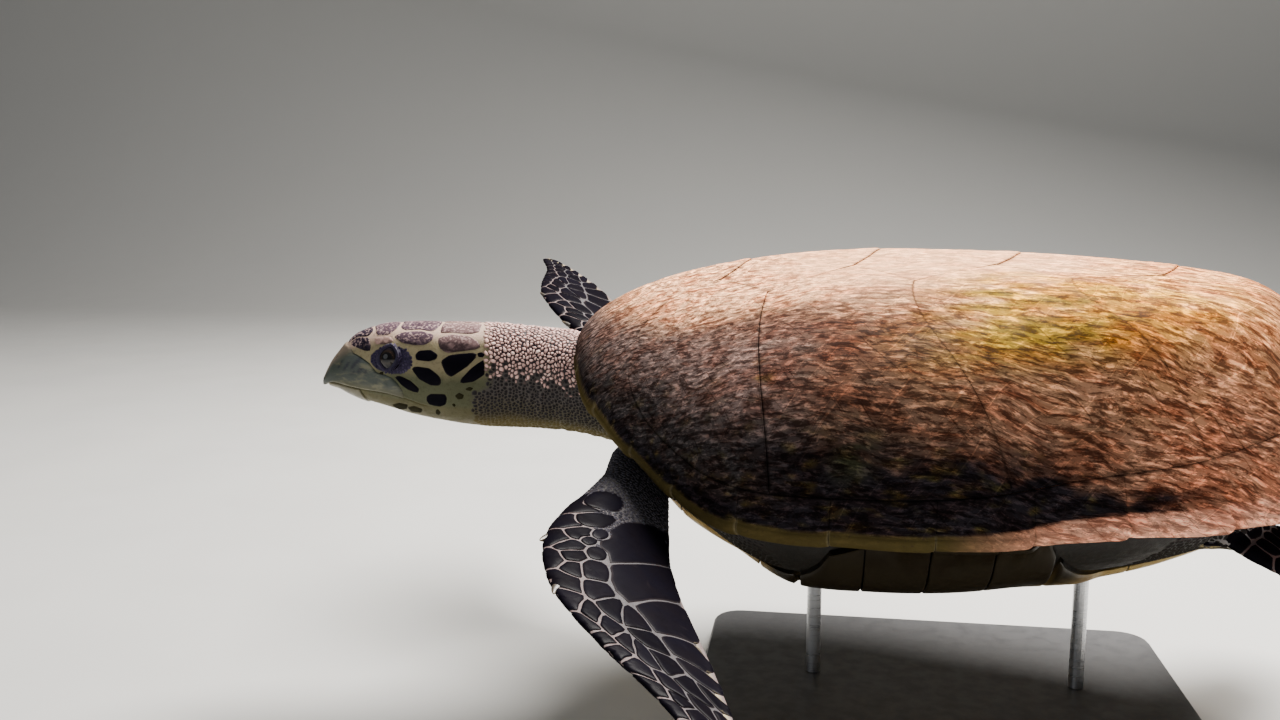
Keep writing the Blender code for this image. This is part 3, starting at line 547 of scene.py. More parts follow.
def planPoints(plan):
    return stacked((plan[..., 0] - 0.5) * shellLong, plan[..., 1] * shellLong)


def ringPlace(angle):
    # Where the plates end, just inside the marginals, in shell lengths
    edge = dome(angle, ringEta(angle))
    place = stacked(edge[..., 0] / shellLong + 0.5, edge[..., 1] / shellLong)
    return place + stacked(np.cos(angle), -np.sin(angle)) * shell["ringGap"] / shellLong


def belly(angle, share):
    # The underside: level in the middle, rising to the rim as a power curve of the share of the way out
    angle, share = np.broadcast_arrays(angle, share)
    reach = roundShell(shell["outline"], angle) * share
    level = np.clip(1 - (share / 0.9) ** 3.2, 0, 1) ** 0.62
    edge = roundShell(shell["rimLevel"], angle) - 0.01
    return stacked(shell["centre"] - reach * np.cos(angle), reach * np.sin(angle),
                   edge + (shell["belly"] - edge) * level)


def polyline(corners, at):
    corners = np.asarray(corners, float)
    run = np.concatenate([[0], np.cumsum(np.linalg.norm(np.diff(corners, axis=0), axis=1))])
    return stacked(*(np.interp(at * run[-1], run, corners[:, k]) for k in range(2)))


def coons(front, rear, inner, outer, u, v):
    # A patch between four lines: both ruled surfaces less the one through the corners
    u, v = u[:, None, None], v[None, :, None]
    ruled = (1 - u) * front[None] + u * rear[None] + (1 - v) * inner[:, None] + v * outer[:, None]
    return ruled - ((1 - u) * (1 - v) * front[0] + (1 - u) * v * front[-1] + u * (1 - v) * rear[0]
                    + u * v * rear[-1])


def edged(count, length, gap):
    # Shares of a side that crowd at both ends, where the plate's edge is rounded
    near = (gap + np.array([0.0, 0.0002, 0.0005, 0.0009, 0.0014, 0.0021, 0.0032])) / length
    inside = np.linspace(0.0046 / length, 1 - 0.0046 / length, count - 2 * len(near))
    return np.concatenate([near, inside, 1 - near[::-1]])


def vertebralPlan(index, u, v):
    # Ends on the ring or on bowed seams, the sides through the corners between the costal plates
    seams, corners, angles = vertebral["seams"], vertebral["corners"], costal["angles"]
    ends = []
    for seam in (index - 1, index):
        if 0 <= seam < len(seams):
            middle, side, half = seams[seam]
            shoulder = side + 0.62 * (middle - side)
            ends.append(polyline([(side, -half), (shoulder, -0.45 * half), (middle, 0), (shoulder, 0.45 * half),
                                  (side, half)], v))
        else:
            ends.append(ringPlace((2 * v - 1) * angles[0] if seam < 0 else pi - (2 * v - 1) * (pi - angles[-1])))
    first = ringPlace(angles[0]) if index == 0 else seams[index - 1][1:]
    last = ringPlace(angles[-1]) if index == 4 else seams[index][1:]
    right = polyline([first, *corners[index - 1:index], last] if index else [first, last], u)
    return coons(ends[0], ends[1], right * (1, -1), right, u, v)


def costalSeam(index, v):
    if index == 0:
        return ringPlace(costal["angles"][0] + costal["corner"] * v)
    inner, outer = np.array(vertebral["corners"][index - 1]), ringPlace(costal["angles"][index])
    line = inner + (outer - inner) * v[:, None]
    line[:, 0] -= costal["bows"][index] * 4 * v * (1 - v)
    return line


def costalPlan(index, u, v):
    angles, corners = costal["angles"], vertebral["corners"]
    first = ringPlace(angles[0]) if index == 0 else corners[index - 1]
    inner = polyline([first, vertebral["seams"][index][1:], corners[index]], u)
    start = angles[index] + (costal["corner"] if index == 0 else 0.0)
    outer = ringPlace(start + (angles[index + 1] - start) * u)
    return coons(costalSeam(index, v), costalSeam(index + 1, v), inner, outer, u, v)


# Colours of the shell, from the sunlit top, whose paleness is partly painted sunlight, down to the dark sides, partly
# the shell's own dark pigment and partly painted shade
shellTones = colours(
    top=(0.92, 0.5, 0.27), middle=(0.128, 0.08, 0.056), front=(0.18, 0.13, 0.12), red=(0.13, 0.048, 0.028),
    algae=(0.62, 0.325, 0.015), moss=(0.18, 0.125, 0.006), ochre=(0.5, 0.19, 0.02), rear=(0.76, 0.32, 0.18),
    dark=(0.013, 0.011, 0.014), shade=(0.046, 0.04, 0.04), olive=(0.075, 0.062, 0.016),
    warm=(0.8, 0.37, 0.15), low=(0.37, 0.19, 0.118), mark=(0.05, 0.055, 0.022), tan=(0.4, 0.175, 0.075),
    brown=(0.13, 0.06, 0.032), lip=(0.066, 0.05, 0.017, 0.1), ledge=(0.8, 0.4, 0.27, 0.8),
    end=(0.2, 0.17, 0.1, 0.2))
# Eta in degrees where the dark side, partly painted shade, begins, by distance, and where the pale top, partly
# painted sunlight, ends, by angle
darkFrom = (0.05, 0.15, 0.25, 0.38, 0.5, 0.58, 0.66, 0.74, 0.82), (78, 68, 64, 65, 71, 76, 82, 91, 100)
topTo = (0, 20, 35, 50, 65, 95, 113, 131, 150, 180), (66, 56, 48, 40, 30, 30, 36, 46, 49, 54)


def shellPaint(points):
    # Tones by height and by distance from the front, each with a border that noise makes ragged
    hue = shellTones
    angle, eta = domeAngles(points)
    around, down = np.degrees(folded(angle)), np.degrees(eta)
    t = points[..., 0] / shellLong + 0.5
    streaked = points * (1.0, 2.6, 2.6)
    wide, fine, broad = cloud(streaked, 0.1, 1), cloud(streaked, 0.03, 2), cloud(points, 0.22, 3, 2)
    end, edge = np.interp(around, *topTo), np.interp(t, *darkFrom)
    red = bump(around, 70, 24) * bump(down, 46, 13)
    growth = bump(around, 132, 29) * bump(down, 38 + 0.08 * (around - 110), 17)
    ochre = bump(around, 135, 13) * bump(down, 47, 11)
    moss = bump(around, 120, 17) * bump(down, 41, 15) + 0.7 * bump(around, 56, 5) * bump(down, 57, 6)
    low = rise(around, 72, 108) * rise(down + 6 * fine, 50, 59)
    tan = blend(hue["tan"], hue["brown"], rise(cloud(streaked, 0.05, 17), -0.3, 0.4))
    # The dark low sides are partly the shell's own dark pigment and partly painted shade; the pale top above is
    # partly painted sunlight
    shade = blend(hue["dark"],
                  hue["shade"], rise(0.34 - t, 0, 0.12) * (1 - rise(down, 80, 88)),
                  hue["olive"], 0.6 * rise(cloud(streaked, 0.016, 14), 0.1, 0.65))
    dark = rise(down + 5 * wide + 7 * fine + 4 * cloud(streaked, 0.011, 15), edge - 10, edge + 8)
    tone = blend(
        hue["top"],
        hue["middle"], rise(down + 9 * wide + 6 * fine, end - 15, end + 12),
        hue["front"], 0.85 * rise(0.36 - t + 0.05 * wide, 0, 0.1) * rise(down, end - 10, end + 14),
        hue["rear"], 0.85 * rise(t + 0.06 * wide, 0.6, 0.72) * rise(down + 8 * fine, 40, 62),
        hue["red"], 0.6 * np.clip(2.1 * red * (0.55 + fine + 0.4 * wide), 0, 1),
        hue["warm"], 0.75 * rise(around + 10 * wide, 138, 160) * rise(down, 20, 32) * (1 - rise(down, 58, 72)),
        hue["algae"], np.clip(2.3 * growth * (0.65 + 0.75 * fine + 0.5 * broad), 0, 0.94),
        hue["ochre"], np.clip(1.9 * ochre * (0.6 + 0.8 * fine), 0, 0.8),
        hue["moss"], np.clip(2.4 * moss * (0.25 + 1.2 * fine + 0.8 * broad), 0, 0.8),
        hue["low"], 0.72 * low * (0.8 + 0.5 * wide),
        tan, 0.85 * rise(t + 0.05 * wide + 0.03 * fine, 0.8, 0.9),
        shade, dark,
        hue["mark"], 0.7 * (bump(around, 78, 3.2) * bump(down, 70, 5) * rise(fine, -0.4, 0.3)))
    # Alpha is how strongly the streaks show
    return np.concatenate([np.clip(tone, 0.004, 1), (0.45 + 0.55 * rise(down, 14, 36))[..., None]], axis=-1)


def shellGrain(points):
    # From front to back, slanting down behind. Its width is the angle round a line in the body
    turn = np.arctan2(points[:, 1], points[:, 2] + 0.09)
    grid = np.linspace(-0.6, 0.6, 121)
    along = np.interp(points[:, 0], grid, np.cumsum(1.4 + 1.8 * (1 - rise(grid, -0.32, -0.02))) * 0.01)
    slant = 0.13 * np.maximum(points[:, 0] + 0.05, 0) * rise(np.abs(turn), 0.15, 0.8) * np.sign(turn)
    return stacked(along + 0.02 * cloud(points, 0.08, 7), 0.2 * turn - slant + 0.007 * cloud(points, 0.06, 10))


def shellRelief(points, distance, overlap):
    # Rounded edge, raised rear edge, low steps of growth and the worn, uneven surface
    step = (distance + 0.006 * cloud(points, 0.05, 4)) * 2 * pi / 0.011
    grown = 0.00004 * np.sin(step) * rise(distance, 0.002, 0.02)
    worn = 0.00045 * cloud(points, 0.035, 5) + 0.00016 * cloud(points * (1.0, 2.2, 2.2), 0.007, 6)
    return overlap + grown + worn - shell["edge"] * rounded(distance, shell["edge"]) - 0.0002


def shellPlate(name, plan, u, v, lengths):
    # One scute: a patch of the dome with its relief, closed below by a flat floor
    angle, eta = domeAngles(planPoints(plan))
    start = min(u[0] * lengths[0], v[0] * lengths[1])
    distance = np.minimum(np.minimum(u, 1 - u)[:, None] * lengths[0], np.minimum(v, 1 - v) * lengths[1]) - start
    overlap = shell["lift"] * rise(u, 0.8, 1.0)[:, None] - 0.5 * shell["lift"] * rise(0.12 - u, 0, 0.12)[:, None]
    top = domeShifted(angle, eta, shellRelief(dome(angle, eta), distance, overlap))
    middle = top.reshape(-1, 3).mean(axis=0)

    def floor(loop, share):
        spot = loop + (middle - loop) * share * (1, 1, 0)
        return domeShifted(*domeAngles(spot), np.full(len(loop), -shell["plate"]))

    points, faces = plateSheet(top, floor)
    tone = shellPaint(points)
    line = 1 - rise(distance.reshape(-1) + 0.0005 * cloud(points[:distance.size], 0.015, 16), 0.0004, 0.0019)
    tone[:line.size, :3] *= 1 - 0.46 * line[:, None]
    newPiece(name, points, faces, "scute", tone, (name,), {"grain": shellGrain(points)})


def makeScutes(count=104):
    for index, size in enumerate(vertebral["lengths"]):
        lengths = np.array(size) * shellLong
        u, v = (edged(count, length, shell["seam"]) for length in lengths)
        shellPlate(f"vertebral_{index + 1}", vertebralPlan(index, u, v), u, v, lengths)
    for side, word in bothSides:
        for index, size in enumerate(costal["lengths"]):
            lengths = np.array(size) * shellLong
            u, v = (edged(count, length, shell["seam"]) for length in lengths)
            v = 1 - (1 - v) ** costal["crowd"] if index else v
            shellPlate(f"costal_{word}_{index + 1}", costalPlan(index, u, v) * (1, side), u, v, lengths)


# Under the lip: step, distance out and down. Teeth: share along a plate, height. At the rim a
# radian is about reach metres long
marginal = {
    "seams": np.radians([13, 25, 37, 49, 62, 75.5, 92, 108.5, 124, 138.5, 152.5, 166, 180.0]),
    "nuchal": radians(13.0), "gap": 0.0002, "edge": 0.0005, "stations": 30, "etas": 18, "reach": 0.3,
    "under": ((0, 1, 2, 3, 4, 5, 6), (0.0, 0.0013, 0.0012, -0.0008, -0.005, -0.015, -0.026),
              (0.0, -0.0018, -0.005, -0.0088, -0.0115, -0.0118, -0.0095)),
    "teeth": ((0.0, 0.1, 0.3, 0.8, 0.95, 1.0), (-0.45, 0.0, 0.25, 1.0, 0.75, -0.3)),
}


def rimSections(angles, drop, tooth, flare):
    # Sections round the rim: down the outer face, round the lip, in under it and up inside.
    # Tooth pushes the lip outwards, flare bends the lower face outwards
    share = np.linspace(0, 1, marginal["etas"])
    low, high = ringEta(angles)[:, None], radians(89.5)
    etas = low + (high - low) * share[None]
    away = outwards(angles)[:, None]
    grid = np.broadcast_to(angles[:, None], etas.shape)
    base = dome(grid, etas)
    worn = 0.00035 * cloud(base, 0.03, 8) + 0.00012 * cloud(base, 0.008, 9)
    upper = shell["edge"] * rounded(share * 12, 1)
    face = domeShifted(grid, etas, worn - drop[:, None] - upper[None] * 0.7)
    bent = share[:, None] ** 2 * tooth[:, None, None] + share[:, None] ** 3 * flare[:, None, None]
    face = face + away * bent
    at = np.linspace(0.35, 6, 17)
    out, down = (smooth(marginal["under"][0], marginal["under"][k], at) for k in (1, 2))
    shrink = (1 - 0.5 * drop / marginal["edge"])[:, None]
    under = face[:, -1:] + away * (out * shrink)[..., None] + stacked(0, 0, down)[None] * shrink[..., None]
    inner = domeShifted(grid[:, [9, 4, 0]], etas[:, [9, 4, 0]], np.full((len(angles), 3), -shell["plate"]))
    return np.concatenate([face, under, inner - away * np.array([0.003, 0.001, 0.0])[:, None]], axis=1)


def rimPiece(name, angles, tooth, flare, node):
    run = np.concatenate([[0], np.cumsum(np.abs(np.diff(angles)))]) * marginal["reach"]
    distance = np.minimum(run, run[-1] - run)
    rings = rimSections(angles, marginal["edge"] * rounded(distance, marginal["edge"]), tooth, flare)
    points, faces = closedLoft(rings)
    around = rings.shape[1]
    step = np.concatenate([np.tile(np.arange(around), len(angles)), [around // 2] * 2])
    share = np.clip(step / (marginal["etas"] - 1), 0, 1)
    where = np.degrees(folded(np.arctan2(points[:, 1], shell["centre"] - points[:, 0])))
    fine = cloud(points, 0.02, 11)
    # Along the lip a dull olive band, partly the rim's own edge and partly painted shade under it; towards the tail a
    # pale pink ledge, partly the rim's own pale edge and partly painted sunlight on the flared rims
    ledge = rise(where, 92, 120)
    lip = blend(shellTones["lip"] * (1 + 0.25 * fine[:, None]), shellTones["ledge"], ledge)
    edge = 0.93 - 0.13 * ledge
    lipped = rise(share + 0.05 * fine, edge - 0.05, edge + 0.06) * (1 - 0.35 * rise(20 - where, 0, 12))
    tone = blend(shellPaint(points), lip, lipped)
    tone[:, :3] *= 1 - 0.5 * (1 - rise(share + 0.01 * fine, 0.0, 0.035))[:, None]
    near = np.concatenate([np.repeat(distance, around), [0.0, 0.0]])
    tone = blend(tone, shellTones["end"], 0.5 * (1 - rise(near, 0.0, 0.0016)) * rise(share, 0.85, 1.0))
    newPiece(name, points, faces, "marginal", np.clip(tone, 0.004, 1), (node,), {"grain": shellGrain(points)})


def crowded(start, end):
    # Angles that crowd at both ends of a marginal
    near = np.array([0.0, 0.0003, 0.0008, 0.0015, 0.0028]) / marginal["reach"]
    gap = marginal["gap"] / 2 / marginal["reach"]
    inside = np.linspace(start + 0.016, end - 0.016, marginal["stations"])
    return np.concatenate([start + gap + near, inside, end - gap - near[::-1]])


def makeMarginals():
    # Each side's twelve and the nuchal. The tooth grows towards each rear corner
    for side, word in bothSides:
        for index, (start, end) in enumerate(zip(marginal["seams"], marginal["seams"][1:])):
            angles = crowded(start, end)
            tooth = smooth(*marginal["teeth"], (angles - start) / (end - start))
            tooth = (0.0025 + 0.0045 * ease((index - 5.0) / 4.0)) * tooth
            flare = 0.007 * rise(np.degrees(angles), 92, 135)
            rimPiece(f"marginal_{word}_{index + 1}", side * angles, tooth, flare, f"marginals_{word}")
    angles = crowded(-marginal["nuchal"], marginal["nuchal"])
    rimPiece("nuchal_plate", angles, 0 * angles, 0 * angles, "nuchal")


# Distances and half widths in shell lengths. Bed, thick, gap, edge and slope are in metres
plastron = {
    "at": (0.1, 0.12, 0.17, 0.24, 0.3, 0.35, 0.45, 0.56, 0.61, 0.67, 0.75, 0.83, 0.88, 0.905),
    "half": (0.02, 0.075, 0.13, 0.165, 0.25, 0.33, 0.345, 0.335, 0.255, 0.165, 0.125, 0.088, 0.05, 0.012),
    "seams": (0.1045, 0.165, 0.27, 0.42, 0.57, 0.705, 0.899), "bridge": (0.315, 0.6), "middle": 0.205,
    "bed": 0.006, "thick": 0.0045, "gap": 0.0006, "edge": 0.0016, "slope": 0.022,
}
# The plastron's amber is darkened as painted shade under the shell, and the flank tone, near black, is painted shade
# on the sides seen below the rim
plastronTones = colours(amber=(0.36, 0.25, 0.085), brown=(0.22, 0.12, 0.035), flank=(0.006, 0.0048, 0.0036))


def plastronPlate(name, low, high, inner, outer, side=1, count=34):
    # A patch of the underside between two distances and between two half widths
    gap = plastron["gap"] / shellLong
    t = low + (high - low) * edged(count, (high - low) * shellLong, plastron["gap"])
    first, last = inner(t) + gap, outer(t) - gap
    last = np.maximum(last, first + 2 * gap)
    v = edged(count, max(0.02, float((last - first).mean() * shellLong)), 0.0)
    y = (first[:, None] + (last - first)[:, None] * v[None]) * side
    place = planPoints(stacked(t[:, None], y)) - (shell["centre"], 0)
    base = belly(*outlineShare(place[..., 0], place[..., 1]))
    distance = np.minimum(np.minimum(t - t[0], t[-1] - t)[:, None] * shellLong,
                          np.minimum(v, 1 - v)[None] * (last - first)[:, None] * shellLong)
    drop = plastron["edge"] * rounded(distance, plastron["edge"])
    # Towards the plastron's own edge the plates come up to the body
    half = np.interp(t, plastron["at"], plastron["half"])[:, None]
    ends = np.minimum(t - plastron["at"][0], plastron["at"][-1] - t)[:, None]
    inwards = 1 - np.clip(np.minimum(half - np.abs(y), ends) * shellLong / plastron["slope"], 0, 1)
    deep = (plastron["bed"] + plastron["thick"]) * (0.22 + 0.78 * np.sqrt(1 - inwards ** 2))
    top = base - stacked(0, 0, deep - drop + 0.0004 * cloud(base, 0.04, 12))
    middle = top.reshape(-1, 3).mean(axis=0)

    def floor(loop, share):
        spot = (loop + (middle - loop) * share)[..., :2] - (shell["centre"], 0)
        return belly(*outlineShare(spot[..., 0], spot[..., 1])) + (0, 0, 0.0015)

    points, faces = plateSheet(top, floor)
    warm = cloud(points, 0.05, 13)
    # Near black towards the sides: painted shade
    flank = 0.97 * rise(np.abs(points[:, 1]) + 0.02 * warm, 0.115, 0.165)
    tone = blend(plastronTones["amber"], plastronTones["brown"], rise(warm, -0.1, 0.7) * 0.7,
                 plastronTones["flank"], flank)
    newPiece(name, points, faces, "plastron", tone, ("plastron",))


def makePlastron():
    start, end = plastron["bridge"]
    half = lambda t: np.interp(t, plastron["at"], plastron["half"])
    within = lambda t: np.where((t > start) & (t < end), np.minimum(half(t), plastron["middle"]), half(t))
    gular = lambda t: 0.034 * np.clip((0.165 - t) / 0.06, 0, 1)
    bridge = lambda t: 0 * t + plastron["middle"]
    rim = lambda t: np.maximum(half(t), plastron["middle"] + 0.004)
    for side, word in bothSides:
        for index, (low, high) in enumerate(zip(plastron["seams"], plastron["seams"][1:])):
            inner = (lambda t: 0 * t) if index else gular
            plastronPlate(f"plastron_{word}_{index + 1}", low, high, inner, within, side)
        stops = np.linspace(start + 0.004, end - 0.004, 5)
        for index, (low, high) in enumerate(zip(stops, stops[1:])):
            plastronPlate(f"bridge_{word}_{index + 1}", low, high, bridge, rim, side, 26)
    plastronPlate("plastron_gular", plastron["seams"][0], 0.164, lambda t: -gular(t), gular, count=24)


makeScutes()
print("scene: scutes ready")
makeMarginals()
makePlastron()
print("scene: marginals and plastron ready")

# Head and neck: sections from the beak's tip back, in thousandths of the head's length
head = {
    "length": 0.225 * shellLong, "tip": -0.835 * shellLong, "level": 0.0365,
    "turn": radians(14.0), "bendStart": -0.3, "bendLength": 0.14, "coat": 0.0008,
    "at": (-12, -7, 0, 40, 90, 135, 190, 270, 360, 500, 700, 960, 1050, 1300, 1500, 1700, 2050),
    "top": (-19, 6, 20, 98, 165, 220, 268, 305, 329, 338, 335, 326, 322, 296, 272, 215, 150),
    "bottom": (-24, -25, -26, -40, -55, -82, -110, -140, -168, -216, -266, -309, -316, -328, -345, -385, -440),
    "half": (2, 13, 22, 62, 95, 120, 148, 184, 216, 246, 268, 264, 262, 272, 300, 345, 420),
}
headLong = head["length"]
mouth = (0.018, 0.121, 0.213, 0.37, 0.49, 0.584, 0.628), (0.651, 0.685, 0.68, 0.661, 0.672, 0.699, 0.705)
# The mouth's line: s and v. The eye's opening: half width and half height from its middle
eye = {"at": (0.415, 0.176, 0.152), "radius": 0.0125, "open": (radians(37.0), radians(56.0)), "lid": 0.0016,
       "tilt": radians(10.0), "sunk": 0.0012}


def bend(points):
    # The neck turns to the left along an arc. The head in front of it stays straight
    ahead = np.maximum(head["bendStart"] - points[..., 0], 0.0)
    along = np.minimum(ahead, head["bendLength"])
    turn = head["turn"] * along / head["bendLength"]
    radius = head["bendLength"] / head["turn"]
    spineX = radius * np.sin(turn) + (ahead - along) * cos(head["turn"])
    spineY = radius * (1 - np.cos(turn)) + (ahead - along) * sin(head["turn"])
    x = np.where(ahead > 0, head["bendStart"] - spineX - points[..., 1] * np.sin(turn), points[..., 0])
    return stacked(x, points[..., 1] * np.cos(turn) - spineY, points[..., 2])


def headPoint(back, out, up):
    return bend(stacked(back, out, up) * headLong + (head["tip"], 0, head["level"]))


def headSection(at, turn):
    # A rounded box: powers of sine and cosine, 12 percent narrower at the bottom
    square = 2.3 - 0.2 * rise(at, 0.95, 1.15)
    sine, cosine = np.sin(turn), np.cos(turn)
    side = np.sign(sine) * np.abs(sine) ** (2 / square)
    up = np.sign(cosine) * np.abs(cosine) ** (2 / square)
    half, top, bottom = (smooth(np.array(head["at"]) / 1000, np.array(head[name]) / 1000, at)
                         for name in ("half", "top", "bottom"))
    return headPoint(at, half * side * (1 + 0.12 * np.minimum(up, 0)), np.where(up > 0, up * top, -up * bottom))


class Wrap:
    # A form given by sections, reread by s along it and v round it. V is the share of the half
    # girth from where a section starts (0) to its far side (1 or -1)
    def __init__(self, section, low, high, rows, length):
        self.section, self.low, self.high, self.rows, self.length = section, low, high, rows, length
        self.stations = np.linspace(low, high, rows)
        self.shares = np.linspace(0, 1, 481)
        turn = np.linspace(0, pi, 1441)
        path = section(self.stations[:, None], turn[None])
        run = np.cumsum(np.linalg.norm(np.diff(path, axis=1), axis=-1), axis=1)
        run = np.concatenate([np.zeros((rows, 1)), run], axis=1)
        self.halfGirth = run[:, -1]
        self.table = np.array([np.interp(self.shares, row / row[-1], turn) for row in run])
        self.sign = 1.0
        middle = (low + high) / 2
        centre = self.spot(middle, np.linspace(-1, 1, 24)).mean(axis=0)
        self.sign = np.sign(self.normal(middle, 0.5) @ (self.spot(middle, 0.5) - centre))

    def spot(self, s, v):
        # The turn is read from the table between its four nearest values
        s, v = np.broadcast_arrays(np.asarray(s, float), np.asarray(v, float))
        v = (v + 1) % 2 - 1
        row = np.clip((s - self.low) / (self.high - self.low) * (self.rows - 1), 0, self.rows - 1.00001)
        column = np.clip(np.abs(v) * (len(self.shares) - 1), 0, len(self.shares) - 1.00001)
        i, j = row.astype(int), column.astype(int)
        f, g = row - i, column - j
        turn = ((self.table[i, j] * (1 - f) + self.table[i + 1, j] * f) * (1 - g)
                + (self.table[i, j + 1] * (1 - f) + self.table[i + 1, j + 1] * f) * g)
        return self.section(s, np.where(v < 0, -turn, turn))

    def normal(self, s, v):
        ds, dv = 0.001 / self.length, 0.006
        found = np.cross(self.spot(s + ds, v) - self.spot(s - ds, v), self.spot(s, v + dv) - self.spot(s, v - dv))
        return unit(self.sign * found)

    def girth(self, s):
        return np.interp(s, self.stations, self.halfGirth)

    def shareOf(self, s, turn):
        row = np.argmin(np.abs(self.stations - s))
        return float(np.interp(turn, self.table[row], self.shares))


headWrap = Wrap(headSection, -0.012, 2.05, 420, headLong)


def eyeFrame(side):
    # Centre of the eyeball, and directions out of the head, forwards and up the lid
    back, out, up = eye["at"]
    axis = headWrap.normal(0.419, side * 0.37)
    ahead = headWrap.spot(0.4, side * 0.37) - headWrap.spot(0.44, side * 0.37)
    ahead -= axis * (ahead @ axis)
    ahead /= np.linalg.norm(ahead)
    over = np.cross(axis, ahead)
    return headPoint(back, side * out, up), axis, ahead, over * np.sign(over[2])


def eyeMeasure(points, side):
    # Direction and distance from the eyeball's centre, and how far out that is in lid openings
    centre, axis, ahead, over = eyeFrame(side)
    away = points - centre
    distance = np.linalg.norm(away, axis=-1)
    ray = away / np.maximum(distance[..., None], 1e-9)
    out = ray @ axis
    x, y = np.arctan2(ray @ ahead, out), np.arctan2(ray @ over, out)
    c, s = cos(eye["tilt"]), sin(eye["tilt"])
    x, y = x * c + y * s, y * c - x * s
    reach = np.hypot(x / eye["open"][0], y / eye["open"][1])
    return centre, ray, distance, np.where(out < -0.3, 9.0, reach), y


def lidReach(s, v):
    # 1 at the border of the dark skin round the eye
    return np.hypot((s - 0.418) / 0.126, (np.abs(v) - 0.385) / 0.11)


def mouthLine(s):
    return smooth(*mouth, s)


def headRelief(s, v, points):
    # Height over the plain form: the mouth's groove and lip, folds of the neck, small unevenness
    a = np.abs(v)
    below = (a - mouthLine(s)) * headWrap.girth(s)
    gape = rise(s, 0.1, 0.16) * (1 - rise(s, 0.6, 0.635))
    groove = (-0.0013 * bump(below, 0.0002, 0.00085) + 0.0005 * bump(below, -0.0022, 0.0018)
              - 0.0003 * rise(below, 0, 0.002) * (1 - rise(below, 0.002, 0.012)))
    corner = -0.0006 * bump(s, 0.632, 0.014) * bump(below, 0.001, 0.004)
    folds = np.sin((s * 21 + 1.5 * cloud(points, 0.035, 20, 2)) * 2 * pi * 0.62)
    neck = rise(s, 0.96, 1.12)
    wrinkle = neck * (0.0006 * folds * rise(cloud(points, 0.03, 26), -0.2, 0.6)
                      + 0.0009 * cloud(points * (1.5, 0.5, 0.5), 0.02, 21))
    throat = 0.0006 * neck * np.sin(v * pi * 26) * rise(a, 0.72, 0.9)
    cheek = 0.0012 * bump(s, 0.74, 0.13) * bump(a, 0.52, 0.14)
    temple = -0.001 * bump(s, 0.6, 0.05) * bump(a, 0.3, 0.07)
    uneven = 0.00022 * cloud(points, 0.008, 22)
    return gape * groove + corner + wrinkle + throat + cheek + temple + uneven - head["coat"]


def headSkin(s, v, lift=0.0):
    # The form with its relief. Round the eye the surface follows the lids: under the eyeball
    # inside the opening, steep at its margin, then as far out as the lid until the head is farther
    s, v, lift = np.broadcast_arrays(s, v, lift)
    plain = headWrap.spot(s, v)
    found = plain + headWrap.normal(s, v) * (headRelief(s, v, plain) + lift)[..., None]
    radius, sunk = eye["radius"], eye["sunk"]
    for side, _ in bothSides:
        centre, ray, distance, reach, height = eyeMeasure(plain, side)
        lid = (radius + eye["lid"] + 0.0006 * bump(reach, 1.16, 0.1) - 0.0007 * bump(reach, 1.42, 0.06)
               + 0.0005 * rise(height, 0.2, 0.9))
        lid = lid - 0.0004 * bump(reach, 1.62, 0.05) + 0.00025 * cloud(plain, 0.004, 23, 2)
        lid = lid - 0.003 * rise(reach, 1.5, 2.1)
        target = radius - sunk + (lid - radius + sunk) * rise(reach, 0.93, 1.09)
        apart = distance - head["coat"] - target
        outer = target + (apart + np.sqrt(apart ** 2 + 0.001 ** 2)) / 2
        target = target + (outer - target) * rise(reach, 1.0, 1.14)
        share = (1 - rise(reach, 1.7, 2.15))[..., None]
        found = found + (centre + ray * (target + lift)[..., None] - found) * share
    return found


# Head tones: the pale crown is partly painted sunlight on top of the head, and the dark cheek, jaw and throat are
# partly painted shade on its lower sides
headTones = colours(
    crown=(0.55, 0.39, 0.3), seam=(0.26, 0.22, 0.125), cheek=(0.088, 0.092, 0.048), jaw=(0.1, 0.09, 0.04),
    throat=(0.135, 0.11, 0.042), lid=(0.022, 0.018, 0.04), neckTop=(0.022, 0.014, 0.017),
    neckSide=(0.08, 0.067, 0.062), neckLow=(0.085, 0.072, 0.045), gape=(0.1, 0.08, 0.03))


def headPaint(s, v, points):
    # Bands by the share round the head, dark lids, an olive throat, pinkish over the neck. The pale top and the dark
    # lower sides are partly painted sunlight and painted shade
    hue, a = headTones, np.abs(v)
    wide, fine = cloud(points, 0.03, 24), cloud(points, 0.008, 25)
    below = (a - mouthLine(s)) * headWrap.girth(s)
    neck = blend(hue["neckTop"], hue["neckSide"], rise(a + 0.06 * wide, 0.3, 0.5),
                 hue["neckLow"], rise(a + 0.05 * wide, 0.56, 0.7), hue["throat"], rise(a + 0.05 * wide, 0.74, 0.86))
    tone = blend(
        hue["crown"],
        hue["seam"], rise(a + 0.03 * wide, 0.17, 0.27), hue["cheek"], rise(a + 0.03 * wide, 0.4, 0.52),
        hue["jaw"], rise(a + 0.02 * wide, 0.66, 0.72), hue["throat"], rise(a + 0.04 * wide, 0.8, 0.95),
        hue["gape"], 0.75 * bump(below, 0.0002, 0.0009) * (1 - rise(s, 0.6, 0.64)),
        neck, rise(s + 0.02 * fine - 0.09 * rise(0.6 - a, 0, 0.1), 0.86, 0.93),
        hue["lid"], 1 - rise(lidReach(s, v) + 0.05 * fine, 0.94, 1.03))
    return np.clip(tone * (1 + 0.1 * fine[..., None]), 0.004, 1)


def graded(low, high, knots, steps):
    # Places whose spacing follows the steps at the knots
    fine = np.linspace(low, high, 6000)
    count = np.concatenate([[0], np.cumsum(np.diff(fine) / np.interp(fine[1:], knots, steps))])
    return np.interp(np.linspace(0, count[-1], int(count[-1]) + 1), count, fine)


